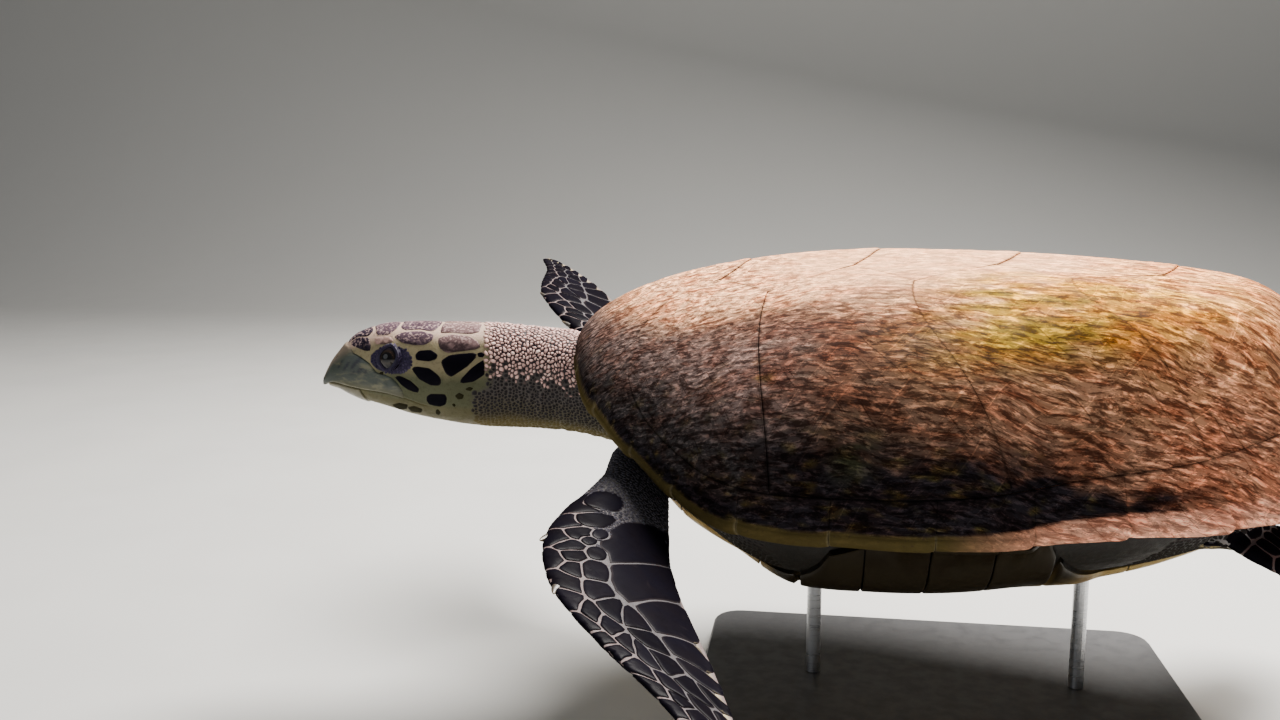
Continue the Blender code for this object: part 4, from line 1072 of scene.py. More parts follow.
# Limbs, in their own lengths. Blade: span, leading and trailing edge, half thickness, in thousandths.
# Pose: twist, droop and sweep in degrees, and bow. Grid: stations and places round half of a section
limbSpecs = {
    "fore": {
        "length": 0.56 * shellLong, "root": (-0.264, 0.155, -0.032), "grid": (84, 29),
        "blade": ((0, 120, 250, 380, 500, 620, 740, 850, 930, 980, 1000),
                  (-100, -122, -149, -163, -150, -108, -16, 85, 136, 168, 190),
                  (55, 66, 75, 98, 131, 164, 190, 208, 215, 213, 203),
                  (62, 52, 40, 32, 25, 19, 15, 11, 8, 6, 4)),
        "pose": {-1: (-23.0, 4.0, 3.0, -0.1), 1: (-10.0, -30.0, -46.0, 0.19)},
    },
    "hind": {
        "length": 0.27 * shellLong, "root": (0.205, 0.095, -0.045), "grid": (40, 23),
        "blade": ((0, 150, 350, 550, 750, 900, 970, 1000), (-150, -150, -175, -215, -235, -180, -95, -20),
                  (150, 160, 210, 270, 270, 190, 95, 20), (85, 75, 55, 40, 28, 20, 15, 10)),
        "pose": {-1: (8.0, 10.0, 52.0, 0.05), 1: (8.0, 6.0, 60.0, 0.05)},
    },
}


def limbPlace(limb, side, points):
    # Twist about the span, droop and sweep, then out to the root. Points are in the limb's lengths
    twist, droop, sweep = (radians(value) for value in limb["pose"][side][:3])
    a, b, c = -side * twist, droop, side * (pi / 2 - sweep)
    rollX = np.array([[1, 0, 0], [0, cos(a), -sin(a)], [0, sin(a), cos(a)]])
    rollY = np.array([[cos(b), 0, sin(b)], [0, 1, 0], [-sin(b), 0, cos(b)]])
    rollZ = np.array([[cos(c), -sin(c), 0], [sin(c), cos(c), 0], [0, 0, 1]])
    return points * limb["length"] @ (rollZ @ rollY @ rollX).T + np.array(limb["root"]) * (1, side, 1)


def limbWrap(limb, side):
    span, lead, trail, thick = np.array(limb["blade"]) / 1000
    bow = limb["pose"][side][3]

    def section(at, turn):
        # A lens, thickest a third of the way back. Turn is 0 at the leading edge, and goes over
        # the upper face to 180 degrees at the trailing edge
        c, s = -np.cos(turn), np.sin(turn)
        front, rear = smooth(span, lead, at), smooth(span, trail, at)
        y = (front + rear) / 2 + (rear - front) / 2 * c
        z = smooth(span, thick, at) * s * (0.66 - 0.34 * c) - bow * at * at
        return limbPlace(limb, side, stacked(at, -side * y, z))

    return Wrap(section, -0.2, 1.0, 260, limb["length"])


tail = {"length": 0.095, "start": 0.285, "radius": 0.03, "tip": 0.0035, "level": -0.04}


def tailSection(at, turn):
    # A cone whose radius falls as a power of what is left of its length, bent a little
    radius = tail["radius"] * np.clip(1 - at, 0, 1) ** 0.7 + tail["tip"]
    return stacked(tail["start"] + tail["length"] * at, radius * np.sin(turn) - 0.006 * at * at,
                   0.85 * radius * np.cos(turn) + tail["level"] - 0.012 * at * at)


limbs = {(kind, side): limbWrap(spec, side) for kind, spec in limbSpecs.items() for side, _ in bothSides}
tailWrap = Wrap(tailSection, -0.6, 1.0, 60, tail["length"])
# The trunk's skin, body and bodyUnder, is near black: painted shade under the shell
skinTones = colours(leading=(0.15, 0.108, 0.106), limb=(0.062, 0.055, 0.06), limbUnder=(0.44, 0.37, 0.22),
                    body=(0.02, 0.018, 0.018), bodyUnder=(0.016, 0.014, 0.011))


def limbPaint(s, v, points):
    hue, fine = skinTones, cloud(points, 0.012, 30)
    # On its upper side the limb's root fades into the trunk's painted-shade tone
    tone = blend(hue["leading"], hue["limb"], rise(v + 0.1 * fine, 0.12, 0.42),
                 hue["limbUnder"], rise(-v, 0.02, 0.1) * rise(v + 1, 0.02, 0.08),
                 hue["body"], (1 - rise(s, 0.1, 0.3)) * (v > 0))
    return np.clip(tone * (1 + 0.12 * fine[..., None]), 0.004, 1)


def trunkPaint(points):
    # Darker low down: painted shade
    under = 1 - rise(points[..., 2] + 0.004 * cloud(points, 0.03, 31), -0.055, -0.02)
    return blend(skinTones["body"], skinTones["bodyUnder"], under)


def looseObject(name, points, faces, paint, kind):
    # A closed mesh with its paint, and a mark that tells its own points from those of a union
    mesh = newMesh(name, toRow(points), faces)
    attribute(mesh, "paint", "FLOAT_COLOR", paint)
    attribute(mesh, "kind", "FLOAT", np.full(len(points), float(kind)))
    return newObject(name, mesh)


def wrapLoft(name, surface, s, v, paint, kind):
    rings = surface(s[:, None], v[None])
    points, faces = closedLoft(rings)
    tone = paint(*np.broadcast_arrays(s[:, None], v[None]), rings).reshape(-1, 3)
    return looseObject(name, points, faces, np.concatenate([tone, tone[:1], tone[-1:]]), kind)


def creased(wrap, depth):
    def surface(s, v):
        base = wrap.spot(s, v)
        return base + wrap.normal(s, v) * (0.0004 * cloud(base, 0.015, 32) - depth)[..., None]
    return surface


# The body under the shell, in metres
trunk = {"sink": -0.0072, "inside": 0.034, "coat": 0.0006, "around": 110, "wall": (0.018, 0.01, 0.002, -0.006),
         "belly": (0.88, 0.84, 0.79, 0.74, 0.67, 0.6, 0.5, 0.4, 0.3, 0.2, 0.1)}


def makeTrunk():
    # The dome sunk below the scutes, a wall inside the rim, the belly
    around = np.linspace(-pi, pi, trunk["around"], endpoint=False)
    sink = np.full(around.shape, trunk["sink"])
    rings = [domeShifted(around, radians(eta), sink) for eta in np.linspace(9, 65, 9)]
    away = outwards(around)
    wall = dome(around, pi / 2) - away * trunk["inside"]
    rings += [wall + (0, 0, z) for z in trunk["wall"]]
    rings += [belly(around, share) - away * trunk["coat"] + (0, 0, trunk["coat"]) for share in trunk["belly"]]
    points, faces = closedLoft(rings, domeShifted(0.0, 0.0, np.array(trunk["sink"])), belly(0.0, 0.0))
    return looseObject("trunk_form", points, faces, trunkPaint(points), 1)


def averaged(values, edges):
    # Mean of each point's neighbours
    count = len(values)
    total = np.zeros(values.shape)
    for k in range(values.shape[1]):
        total[:, k] = sum(np.bincount(edges[:, a], weights=values[edges[:, 1 - a], k], minlength=count)
                          for a in (0, 1))
    return total / np.maximum(np.bincount(edges.ravel(), minlength=count), 1)[:, None]


def readField(mesh, name, field, width):
    found = np.empty(len(mesh.vertices) * width, np.float32)
    mesh.attributes[name].data.foreach_get(field, found)
    return found.reshape(-1, width).astype(float)


# Where the skin's grid is fine: knots and steps along the head, and round half of it
skinGrid = {
    "along": ((0.03, 0.26, 0.3, 0.54, 0.58, 0.95, 1.05, 2.02),
              (0.006, 0.006, 0.0032, 0.0032, 0.007, 0.009, 0.009, 0.015)),
    "round": ((0, 0.22, 0.26, 0.51, 0.54, 0.63, 0.65, 0.715, 0.74, 1.0),
              (0.014, 0.012, 0.0042, 0.0042, 0.009, 0.009, 0.0045, 0.0045, 0.012, 0.016)),
}


def makeSkin():
    # The head and neck, limbs, tail and trunk joined, then smoothed where they meet
    half = graded(0.0, 1.0, *skinGrid["round"])
    joined = wrapLoft("skin", headSkin, graded(0.03, 2.02, *skinGrid["along"]),
                      np.concatenate([half, -half[-2:0:-1]]), headPaint, 2)
    parts = [makeTrunk()]
    for (kind, _), wrap in limbs.items():
        stations, places = limbSpecs[kind]["grid"]
        along = np.concatenate([np.linspace(-0.2, 0.95, stations), [0.965, 0.978, 0.988, 0.995]])
        turn = (1 - np.cos(np.linspace(0, pi, places))) / 2
        turn = np.concatenate([turn, -turn[-2:0:-1]])
        parts.append(wrapLoft(f"{kind}_form", creased(wrap, 0.0011), along, turn, limbPaint, 3))
    parts.append(wrapLoft("tail_form", creased(tailWrap, 0.0008), np.linspace(-0.6, 0.99, 30),
                          np.linspace(-1, 1, 32, endpoint=False), lambda s, v, points: trunkPaint(points), 4))
    for part in parts:
        join = joined.modifiers.new("join", "BOOLEAN")
        join.operation, join.solver, join.object = "UNION", "MANIFOLD", part
    mesh = bpy.data.meshes.new_from_object(joined.evaluated_get(bpy.context.evaluated_depsgraph_get()))
    joined.modifiers.clear()
    joined.data = mesh
    for part in parts:
        bpy.data.objects.remove(part)
    points = pointsOf(mesh)
    edges = np.empty(len(mesh.edges) * 2, np.int32)
    mesh.edges.foreach_get("vertices", edges)
    edges = edges.reshape(-1, 2)
    paint = readField(mesh, "paint", "color", 4)[:, :3]
    new = readField(mesh, "kind", "value", 1)[:, 0] < 0.5
    print("scene: skin joined,", len(points), "points,", int(new.sum()), "of them along the joins")
    # Distance to the joins, in blocks so that the table of distances stays small
    lines, block = points[new], 8000
    distance = np.full(len(points), 1.0)
    for start in range(0, len(points), block):
        some = points[start:start + block]
        square = (some ** 2).sum(axis=1)[:, None] + (lines ** 2).sum(axis=1)[None] - 2 * some @ lines.T
        distance[start:start + block] = np.sqrt(np.maximum(square.min(axis=1), 0))
    near = (1 - rise(distance, 0.006, 0.022))[:, None]
    for _ in range(60):
        points = points + 0.5 * near * (averaged(points, edges) - points)
    soft = (1 - rise(distance, 0.004, 0.014))[:, None]
    soft[new] = 1.0
    for _ in range(30):
        paint = paint + 0.7 * soft * (averaged(paint, edges) - paint)
    mesh.vertices.foreach_set("co", points.astype(np.float32).ravel())
    attribute(mesh, "paint", "FLOAT_COLOR", paint)
    mesh.attributes.remove(mesh.attributes["kind"])
    mesh.materials.clear()
    mesh.materials.append(finish["skin"])
    mesh.update()
    mesh.shade_smooth()
    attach(joined, "root")
    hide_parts("trunk", "neck", "head", "jaw_lower", "tail", "flipper_front_left", "flipper_front_right",
                "flipper_rear_left", "flipper_rear_right")
    return joined


skin = makeSkin()
print("scene: skin ready,", len(skin.data.polygons), "faces")

rotation = toRow(np.eye(3)) - toRow(np.zeros((1, 3)))


def landed(points):
    # The nearest places on the skin, found by a Shrinkwrap on loose points
    flat = points.reshape(-1, 3)
    mesh = bpy.data.meshes.new("landing")
    mesh.vertices.add(len(flat))
    mesh.vertices.foreach_set("co", flat.astype(np.float32).ravel())
    loose = newObject("landing", mesh)
    wrap = loose.modifiers.new("wrap", "SHRINKWRAP")
    wrap.target, wrap.wrap_method = skin, "NEAREST_SURFACEPOINT"
    done = bpy.data.meshes.new_from_object(loose.evaluated_get(bpy.context.evaluated_depsgraph_get()))
    found = pointsOf(done)
    bpy.data.objects.remove(loose)
    bpy.data.meshes.remove(mesh)
    bpy.data.meshes.remove(done)
    return found.reshape(points.shape)


def cellReach(offsets, ownShape, otherShapes, theta, cap, power):
    # How far each cell goes at each angle: to where a neighbour, measured in its own size, is as
    # near as the cell's own middle, with all neighbours joined by a soft minimum
    ray = stacked(np.cos(theta), np.sin(theta))
    own = np.linalg.norm(np.einsum("pij,aj->pai", ownShape, ray), axis=-1)
    ahead = np.einsum("pkij,aj->pkai", otherShapes, ray)
    there = -np.einsum("pkij,pkj->pki", otherShapes, offsets)
    a = (ahead ** 2).sum(axis=-1) - own[:, None] ** 2
    b = 2 * (ahead * there[:, :, None]).sum(axis=-1)
    c = (there ** 2).sum(axis=-1)[:, :, None]
    root = b * b - 4 * a * c
    below = np.sqrt(np.maximum(root, 0)) - b
    inverse = np.where((root > 0) & (below > 1e-9), np.maximum(below, 0) / (2 * c), 0.0)
    return (np.sum(inverse ** power, axis=1) + (own / cap) ** power) ** (-1 / power)


def shapeOf(size, ratio, angle):
    # Matrices that measure a place in a cell's own length and width
    c, s = np.cos(angle), np.sin(angle)
    return np.stack([stacked(c / size, s / size), stacked(-s / (size * ratio), c / (size * ratio))], axis=-2)


def fanValues(middle, rings, below, count):
    # One value at a plate's middle, one for each ring, one underneath, as laid out by fanFaces
    return np.concatenate([[middle], np.repeat(rings, count), [below]])


def fanFaces(rings, count):
    # Triangles of one plate: a fan at the middle, bands between its rings, a fan underneath
    j = np.arange(count)
    k = (j + 1) % count
    faces = [stacked(0, 1 + j, 1 + k)]
    for ring in range(rings - 1):
        a, b = 1 + ring * count, 1 + (ring + 1) * count
        faces += [stacked(a + j, b + j, b + k), stacked(a + j, b + k, a + k)]
    last = 1 + (rings - 1) * count
    return np.concatenate(faces + [stacked(last + count, last + k, last + j)])


def scalePiece(name, points, paint, chart, count):
    # points (plates, vertices of one plate, 3) become one mesh
    plates, each = points.shape[:2]
    faces = fanFaces((each - 2) // count, count)[None] + each * np.arange(plates)[:, None, None]
    flat = points.reshape(-1, 3)
    newPiece(name, flat, outward(flat, [faces.reshape(-1, 3)]), "scale",
             np.clip(paint, 0.002, 1).reshape(-1, paint.shape[-1]), maps={"OFBake": chart.reshape(-1, 2)},
             inRow=True)


# The large plates: rings at shares of the reach, the last buried, then heights and roughness in metres
plateSpec = {"rings": (0.25, 0.5, 0.7, 0.84, 0.93, 0.98, 1.0), "height": 0.001, "depth": 0.001,
             "ridge": 0.00003, "ridgeStep": 0.0021, "uneven": 0.00022, "unevenSize": 0.006}
headSpec = {**plateSpec, "rings": (0.22, 0.45, 0.65, 0.8, 0.9, 0.96, 1.0), "height": 0.0008,
            "uneven": 0.00016, "unevenSize": 0.004}


def raisedPlates(name, wrap, surface, centres, reach, spec, tones):
    # Plates from their middles (length, girth) in metres and their reach at each angle. Rings at
    # shares of the reach stand as high as the square root of 1 - share^6, the last is buried
    plates, count = reach.shape
    theta = circle(count)
    shares = np.array([*spec["rings"], 1.0])
    heights = spec["height"] * np.sqrt(1 - shares ** 6)
    heights[-2:] = -0.15 * spec["depth"], -spec["depth"]
    ring = fanValues(0.0, shares, 0.0, count)
    height = fanValues(spec["height"], heights, -spec["depth"], count)
    turn = np.concatenate([[0], np.tile(np.arange(count), len(shares)), [0]])
    out = reach[:, turn] * ring[None]
    s = (centres[:, :1] + out * np.cos(theta[turn])) / wrap.length
    v = np.clip((centres[:, 1:] + out * np.sin(theta[turn])) / wrap.girth(s), -0.9995, 0.9995)
    plain = wrap.spot(s, v)
    base = landed(toRow(surface(s, v)))
    step = ring[None] * reach[:, turn] / spec["ridgeStep"] * pi + 3 * cloud(plain, 0.02, 41, 2)
    uneven = spec["uneven"] * cloud(plain, spec["unevenSize"], 42) * (ring < 0.97)
    rough = spec["ridge"] * np.sin(step) * np.minimum(1, ring) * (ring < 0.93) + uneven
    points = base + wrap.normal(s, v) @ rotation * (height + rough * (height > 0))[..., None]
    chart = stacked(0.02 + 0.96 * (s - wrap.low) / (wrap.high - wrap.low), 0.02 + 0.48 * (v + 1))
    paint = tones(np.arange(plates)[:, None], ring[None], s, v, plain)
    scalePiece(name, points, paint, chart, count)


# The head's plates on one side: kind, then s and v of each corner in thousandths
headPlates = [
    ("snout", 164, 129, 205, 126, 275, 181, 294, 261, 292, 319, 251, 290, 186, 207),
    ("pink", 316, 199, 408, 205, 436, 238, 378, 264, 330, 256),
    ("purple", 430, 202, 484, 165, 590, 154, 666, 183, 658, 229, 617, 262, 552, 268, 487, 255),
    ("brown", 690, 213, 766, 180, 872, 191, 934, 238, 940, 275, 864, 292, 747, 316, 704, 288),
    ("dark", 563, 339, 584, 310, 650, 304, 690, 331, 682, 361, 639, 377, 568, 375),
    ("dark", 538, 440, 557, 421, 639, 428, 690, 464, 709, 497, 701, 532, 647, 534, 582, 502),
    ("dark", 709, 373, 758, 334, 913, 305, 924, 324, 864, 393, 769, 469, 739, 452),
    ("dark", 959, 347, 959, 445, 894, 491, 818, 509, 823, 483, 894, 402),
    ("dark", 924, 312, 945, 304, 961, 317, 951, 331, 929, 330),
    ("dark", 438, 514, 465, 498, 528, 528, 579, 571, 568, 608, 514, 589, 473, 557),
    ("dark", 622, 625, 644, 602, 726, 590, 736, 616, 726, 668, 693, 691, 633, 687, 620, 655),
    ("olive", 788, 596, 810, 575, 834, 589, 826, 611, 804, 617),
    ("olive", 769, 664, 777, 658, 782, 669, 777, 679),
    ("olive", 669, 738, 679, 725, 688, 756, 682, 788, 666, 775),
    ("olive", 850, 543, 872, 533, 891, 537, 877, 551, 858, 550),
    ("olive", 293, 545, 302, 520, 316, 518, 312, 545, 300, 556),
    ("olive", 324, 560, 332, 538, 345, 536, 343, 562, 332, 572),
    ("olive", 345, 520, 352, 494, 367, 492, 366, 518, 355, 530),
    ("olive", 356, 568, 362, 545, 378, 540, 380, 562, 368, 575),
    ("olive", 408, 790, 452, 737, 500, 734, 490, 789, 441, 848),
    ("olive", 503, 766, 538, 735, 584, 754, 574, 797, 519, 816),
    ("snout", 150, 12, 158, 105, 207, 104, 278, 158, 302, 100, 290, 12),
    ("brown", 722, 12, 712, 80, 704, 165, 766, 158, 872, 166, 928, 150, 945, 12),
]
# Plates that cross the midline, half of each outline
middlePlates = [
    ("purple", 310, 0, 322, 100, 328, 176, 408, 184, 448, 110, 462, 0),
    ("purple", 480, 0, 468, 100, 490, 142, 588, 132, 664, 156, 696, 80, 704, 0),
]
plateTones = colours(
    dark=(0.0036, 0.003, 0.006), purple=(0.095, 0.062, 0.08), brown=(0.17, 0.108, 0.108), pink=(0.42, 0.27, 0.23),
    snout=(0.03, 0.022, 0.036), olive=(0.02, 0.018, 0.008), edge=(0.15, 0.12, 0.1), warm=(0.005, 0.0036, 0.0048),
    worn=(0.07, 0.055, 0.05), limbEdge=(0.08, 0.065, 0.065), under=(0.34, 0.29, 0.19))


def outlineReach(corners, theta):
    # Distance from an outline's middle to its sides at each angle, then softened round the corners
    middle = corners.mean(axis=0)
    a = corners - middle
    edge = np.roll(a, -1, axis=0) - a
    x, y = np.cos(theta)[:, None], np.sin(theta)[:, None]
    cross = x * edge[None, :, 1] - y * edge[None, :, 0]
    cross = np.where(np.abs(cross) < 1e-12, 1e-12, cross)
    along = (a[None, :, 0] * edge[None, :, 1] - a[None, :, 1] * edge[None, :, 0]) / cross
    share = (a[None, :, 0] * y - a[None, :, 1] * x) / cross
    reach = np.where((along > 0) & (share >= -1e-6) & (share <= 1 + 1e-6), along, 0).max(axis=1)
    offsets = np.arange(-6, 7)
    kernel = np.exp(-((offsets * (theta[1] - theta[0]) / radians(6.5)) ** 2))
    return middle, sum(np.roll(reach, o) * k for o, k in zip(offsets, kernel)) / kernel.sum()


def makeHeadPlates(count=40):
    rows = [(kind, np.reshape(corners, (-1, 2)) / 1000 * (1, side))
            for kind, *corners in headPlates for side, _ in bothSides]
    for kind, *corners in middlePlates:
        half = np.reshape(corners, (-1, 2)) / 1000
        rows.append((kind, np.concatenate([half, half[-2:0:-1] * (1, -1)])))
    found = [outlineReach(stacked(row[:, 0] * headLong, row[:, 1] * headWrap.girth(row[:, 0])), circle(count))
             for _, row in rows]
    core = np.array([plateTones[kind] for kind, _ in rows])
    plain = np.array([kind in ("dark", "olive") for kind, _ in rows])

    def tones(plate, ring, s, v, points):
        fine, wide = cloud(points, 0.0022, 43), cloud(points, 0.009, 44)
        # The crown's plates darken towards the side of the head: painted shade where the head turns away from the
        # light above
        lower = rise(np.abs(v), 0.19, 0.27) * (~plain)[plate] * (np.abs(v) < 0.33)
        tone = blend(core[plate] * (1 + 0.35 * wide[..., None]),
                     plateTones["dark"], 0.8 * lower * rise(fine + wide, -0.5, 0.2),
                     plateTones["edge"], 0.3 * rise(ring, 0.93, 1.0))
        # Alpha keeps the pale specks off the dark plates and off the shaded side of the crown's
        held = np.where(plain[plate], 1.0, 0.3 + 0.65 * lower)
        return np.concatenate([tone, held[..., None]], axis=-1)

    centres, reach = (np.array([row[k] for row in found]) for k in (0, 1))
    raisedPlates("head_plates", headWrap, headSkin, centres, reach + 0.0006, headSpec, tones)


# The fore flippers' plates in thousandths: span and place across in the limb's lengths, half
# length and half width in metres. They lean back together
foreLean = atan2(0.48, -0.88)
forePlates = {
    "leading": [(a, y, 18.5, 15) for a, y in (
        (243, -129), (332, -138), (411, -145), (500, -137), (571, -107), (631, -88), (695, -49), (724, -19),
        (749, 8), (776, 43), (818, 72), (860, 105))] + [(897, 128, 13, 10), (932, 150, 11, 9), (965, 175, 10, 8)],
    "middle": [(a, y, 17.5, 10.5) for a, y in (
        (219, -107), (302, -106), (373, -113), (435, -119), (471, -108), (519, -100), (497, -62), (566, -47),
        (654, -48), (609, -15), (681, -9), (619, 25), (708, 18), (662, 50), (724, 50), (723, 86), (794, 97),
        (769, 131), (832, 114), (860, 136))]
    + [(421, -64, 12, 7), (384, -88, 9, 6), (342, -71, 9, 6), (815, 150, 13, 9), (880, 160, 12, 8),
       (915, 178, 11, 8), (950, 196, 9, 7)],
    "trailing": [(315, 12, 44, 18), (425, 37, 43, 20), (541, 86, 30, 18), (635, 128, 20, 15),
                 (704.5, 158, 15, 12), (772, 184, 14, 11), (830, 193, 12, 10), (885, 199, 11, 9),
                 (932, 205, 9, 8)],
}
hindPlates = {"from": 0.1, "to": 0.96, "rows": 9, "width": 0.0165, "size": 0.0105, "taper": 0.003,
              "ratio": 0.8, "lean": radians(150)}


def foreSeeds(wrap, *names):
    # Middles in metres of length and girth, with the plates' sizes. A place across becomes the turn
    # of the section's cosine, and that a share of the girth
    span, lead, trail, _ = np.array(limbSpecs["fore"]["blade"]) / 1000
    found = []
    for a, y, size, width in np.array([row for name in names for row in forePlates[name]]) / 1000:
        front, rear = smooth(span, lead, a), smooth(span, trail, a)
        turn = acos(float(np.clip(-(y - (front + rear) / 2) / ((rear - front) / 2), -0.985, 0.985)))
        found.append((a * wrap.length, wrap.shareOf(a, turn) * float(wrap.girth(a)), size, width / size))
    return np.array(found)


def limbPlates(name, wrap, upper, leading, lean, spec, tones, count=32, gap=0.0008):
    # The same plates above and below. Mirrored ones beyond both edges and the tip bound the last
    under = upper * (1, -1, 1, 1)
    seeds = np.concatenate([leading, upper, under])
    angle = np.concatenate([np.full(len(leading) + len(upper), lean), np.full(len(under), -lean)])
    beyond, tip = seeds.copy(), seeds.copy()
    beyond[:, 1] = np.sign(seeds[:, 1]) * 2 * wrap.girth(seeds[:, 0] / wrap.length) - seeds[:, 1]
    tip[:, 0] = 2 * 0.988 * wrap.length - seeds[:, 0]
    everyone = np.concatenate([seeds, beyond, tip])
    shapes = shapeOf(everyone[:, 2], everyone[:, 3], np.concatenate([angle, -angle, -angle]))
    offset = everyone[None, :, :2] - seeds[:, None, :2]
    own = np.linalg.norm(np.einsum("pij,pkj->pki", shapes[:len(seeds)], offset), axis=-1)
    other = np.linalg.norm(np.einsum("kij,pkj->pki", shapes, offset), axis=-1)
    key = own * other / np.maximum(own + other, 1e-9)
    rows = np.arange(len(seeds))
    key[rows, rows] = 99
    nearest = np.argsort(key, axis=1)[:, :14]
    reach = cellReach(offset[rows[:, None], nearest], shapes[:len(seeds)], shapes[nearest], circle(count), 2.0, 16)
    reach = np.maximum(reach - gap, 0.3 * reach)
    raisedPlates(name, wrap, wrap.spot, seeds[:, :2], reach, spec, tones)


def darkPlates(seed):
    # Blue-black above, with a brownish rim. Below, paler the farther from the leading edge
    def tones(plate, ring, s, v, points):
        hue = plateTones
        wide, fine = cloud(points, 0.012, seed), cloud(points, 0.0035, seed + 1)
        own = ((np.sin(plate * 12.9898 + seed) * 43758.5453) % 1.0)[..., None]
        under = rise(-v, 0.06, 0.2) * rise(1 + v, 0.02, 0.06)
        return blend(blend(hue["dark"], hue["warm"], np.clip(0.5 + wide, 0, 1) * 0.6) * (0.8 + 0.5 * own),
                     hue["worn"], rise(fine, 0.45, 0.75) * 0.08,
                     hue["under"] * (0.75 + 0.4 * own), under * (0.55 + 0.3 * wide),
                     hue["limbEdge"], 0.3 * rise(ring, 0.93, 1.0))
    return tones


def makeLimbPlates():
    spec = hindPlates
    for side, word in bothSides:
        wrap = limbs[("fore", side)]
        limbPlates(f"front_flipper_plates_{word}", wrap, foreSeeds(wrap, "middle", "trailing"),
                   foreSeeds(wrap, "leading"), foreLean, plateSpec, darkPlates(50 + side))
        wrap = limbs[("hind", side)]
        draw = np.random.default_rng(31 + side)
        upper, leading = [], []
        for row, a in enumerate(np.linspace(spec["from"], spec["to"], spec["rows"])):
            girth = float(wrap.girth(a))
            across = int(np.clip(round(girth / spec["width"]), 2, 8))
            for n in range(across):
                share = (n + 0.25 * (1 + row % 2)) / across + 0.02 * draw.uniform(-1, 1)
                seed = (a * wrap.length + 0.0015 * draw.uniform(-1, 1), share * girth,
                        (spec["size"] - spec["taper"] * a) * draw.uniform(0.85, 1.2), spec["ratio"])
                (upper if n else leading).append(seed)
        limbPlates(f"hind_flipper_plates_{word}", wrap, np.array(upper), np.array(leading), spec["lean"],
                   {**plateSpec, "height": 0.0009}, darkPlates(60 + side), 20, 0.0007)


# Small scales: rings with their heights and how much of the rim's colour they have, then a last
# value for the point underneath. Gap is between neighbours, in metres
granule = {"sides": 7, "rings": (0.5, 0.84, 1.0), "level": (0.93, 0.62, -0.55, -0.9), "rim": (0.05, 0.6, 1.0, 0.5),
           "near": 9, "cap": 1.45, "gap": 0.00022, "chart": 0.0014}
grainTones = colours(
    core=(0.93, 0.6, 0.53), pink=(0.24, 0.125, 0.118), grey=(0.022, 0.02, 0.022), greyRim=(0.082, 0.072, 0.068),
    throat=(0.12, 0.095, 0.036), throatRim=(0.15, 0.122, 0.052), arm=(0.026, 0.025, 0.033),
    armRim=(0.105, 0.098, 0.11), lid=(0.015, 0.012, 0.03), lidLit=(0.075, 0.062, 0.105),
    lidRim=(0.06, 0.046, 0.095), under=(0.34, 0.27, 0.13), underRim=(0.4, 0.33, 0.17),
    groin=(0.014, 0.012, 0.01), groinRim=(0.03, 0.026, 0.02))


def twoTone(names, share, own=1.0, ownSecond=1.0):
    # Core and rim from one pair of tones to another. Own varies the cores from scale to scale
    (first, firstRim), (second, secondRim) = names
    hue = grainTones
    return (blend(hue[first] * own, hue[second] * ownSecond, share), blend(hue[firstRim], hue[secondRim], share))


def seedRows(wrap, low, high, spacing, knots, steps, draw):
    # Rows along a form, with places round it whose spacing follows the steps in metres at the knots of v
    s, v = [], []
    for row, at in enumerate(np.arange(low, high, spacing / wrap.length)):
        places = graded(-1.0, 1.0, knots, np.array(steps) / float(wrap.girth(at)))[:-1]
        gap = np.diff(np.append(places, 1.0))
        v.append(places + gap * (0.5 * (row % 2) + 0.36 * draw.uniform(-1, 1, len(places))))
        s.append(at + 0.36 * spacing / wrap.length * draw.uniform(-1, 1, len(places)))
    return np.concatenate(s), np.concatenate(v)


def seedSet(points, normals, chart, size, core, rim, height, ratio, draw):
    # Each seed has a place and normal in the row frame, a size, its colours and a turn of its own
    return {"points": toRow(points), "normals": normals @ rotation, "chart": chart, "size": size, "core": core,
            "rim": np.broadcast_to(rim, core.shape), "height": height + np.zeros(len(size)), "ratio": ratio,
            "turn": draw.uniform(0, pi, len(size))}


def wrapSeeds(wrap, s, v, surface, size, core, rim, height, slender, draw):
    # slender is how much narrower than long the scales are
    chart = stacked(0.03 + 0.94 * (s - wrap.low) / (wrap.high - wrap.low), 0.03 + 0.47 * (v + 1))
    ratio = 1 - slender * draw.uniform(0.6, 1.0, len(s))
    return seedSet(surface(s, v), wrap.normal(s, v), chart, size, core, rim, height, ratio, draw)


def neckSeeds(draw):
    knots = (-1, -0.82, -0.74, -0.52, -0.46, 0, 0.46, 0.52, 0.74, 0.82, 1)
    steps = (0.005, 0.0044, 0.0034, 0.0034, 0.0042, 0.0044, 0.0042, 0.0034, 0.0034, 0.0044, 0.005)
    s, v = seedRows(headWrap, 0.86, 1.95, 0.0037, knots, steps, draw)
    # The large plates of the head end in front of the first rows
    a = np.abs(v)
    plain = headWrap.spot(s, v)
    wide, fine = cloud(plain, 0.03, 24), cloud(plain, 0.006, 61)
    keep = (s + 0.012 * fine > 0.97) | ((a > 0.56) & (s + 0.03 * wide + 0.02 * fine > 0.9))
    s, v, a, wide = s[keep], v[keep], a[keep], wide[keep]
    own = draw.uniform(0.7, 1.3, len(s))[:, None]
    # Pale pink scales over the top of the neck are partly the neck's own pale skin and partly painted sunlight; the
    # darker olive throat scales below are partly painted shade
    upper = 1 - rise(a + 0.06 * wide + 0.07 * draw.uniform(-1, 1, len(s)), 0.43, 0.47)
    low = rise(a + 0.05 * wide, 0.7, 0.84)
    core, rim = twoTone((("grey", "greyRim"), ("core", "pink")), upper, own, own)
    core = blend(core, grainTones["throat"] * (0.85 + 0.15 * own), low)
    rim = blend(rim, grainTones["throatRim"], low)
    size = draw.uniform(0.7, 1.25, len(s)) * (0.0022 + 0.0009 * upper)
    height = 0.00055 + 0.00035 * upper - 0.00025 * low
    return wrapSeeds(headWrap, s, v, headSkin, size, core, rim, height, 0.1 + 0.5 * upper, draw)


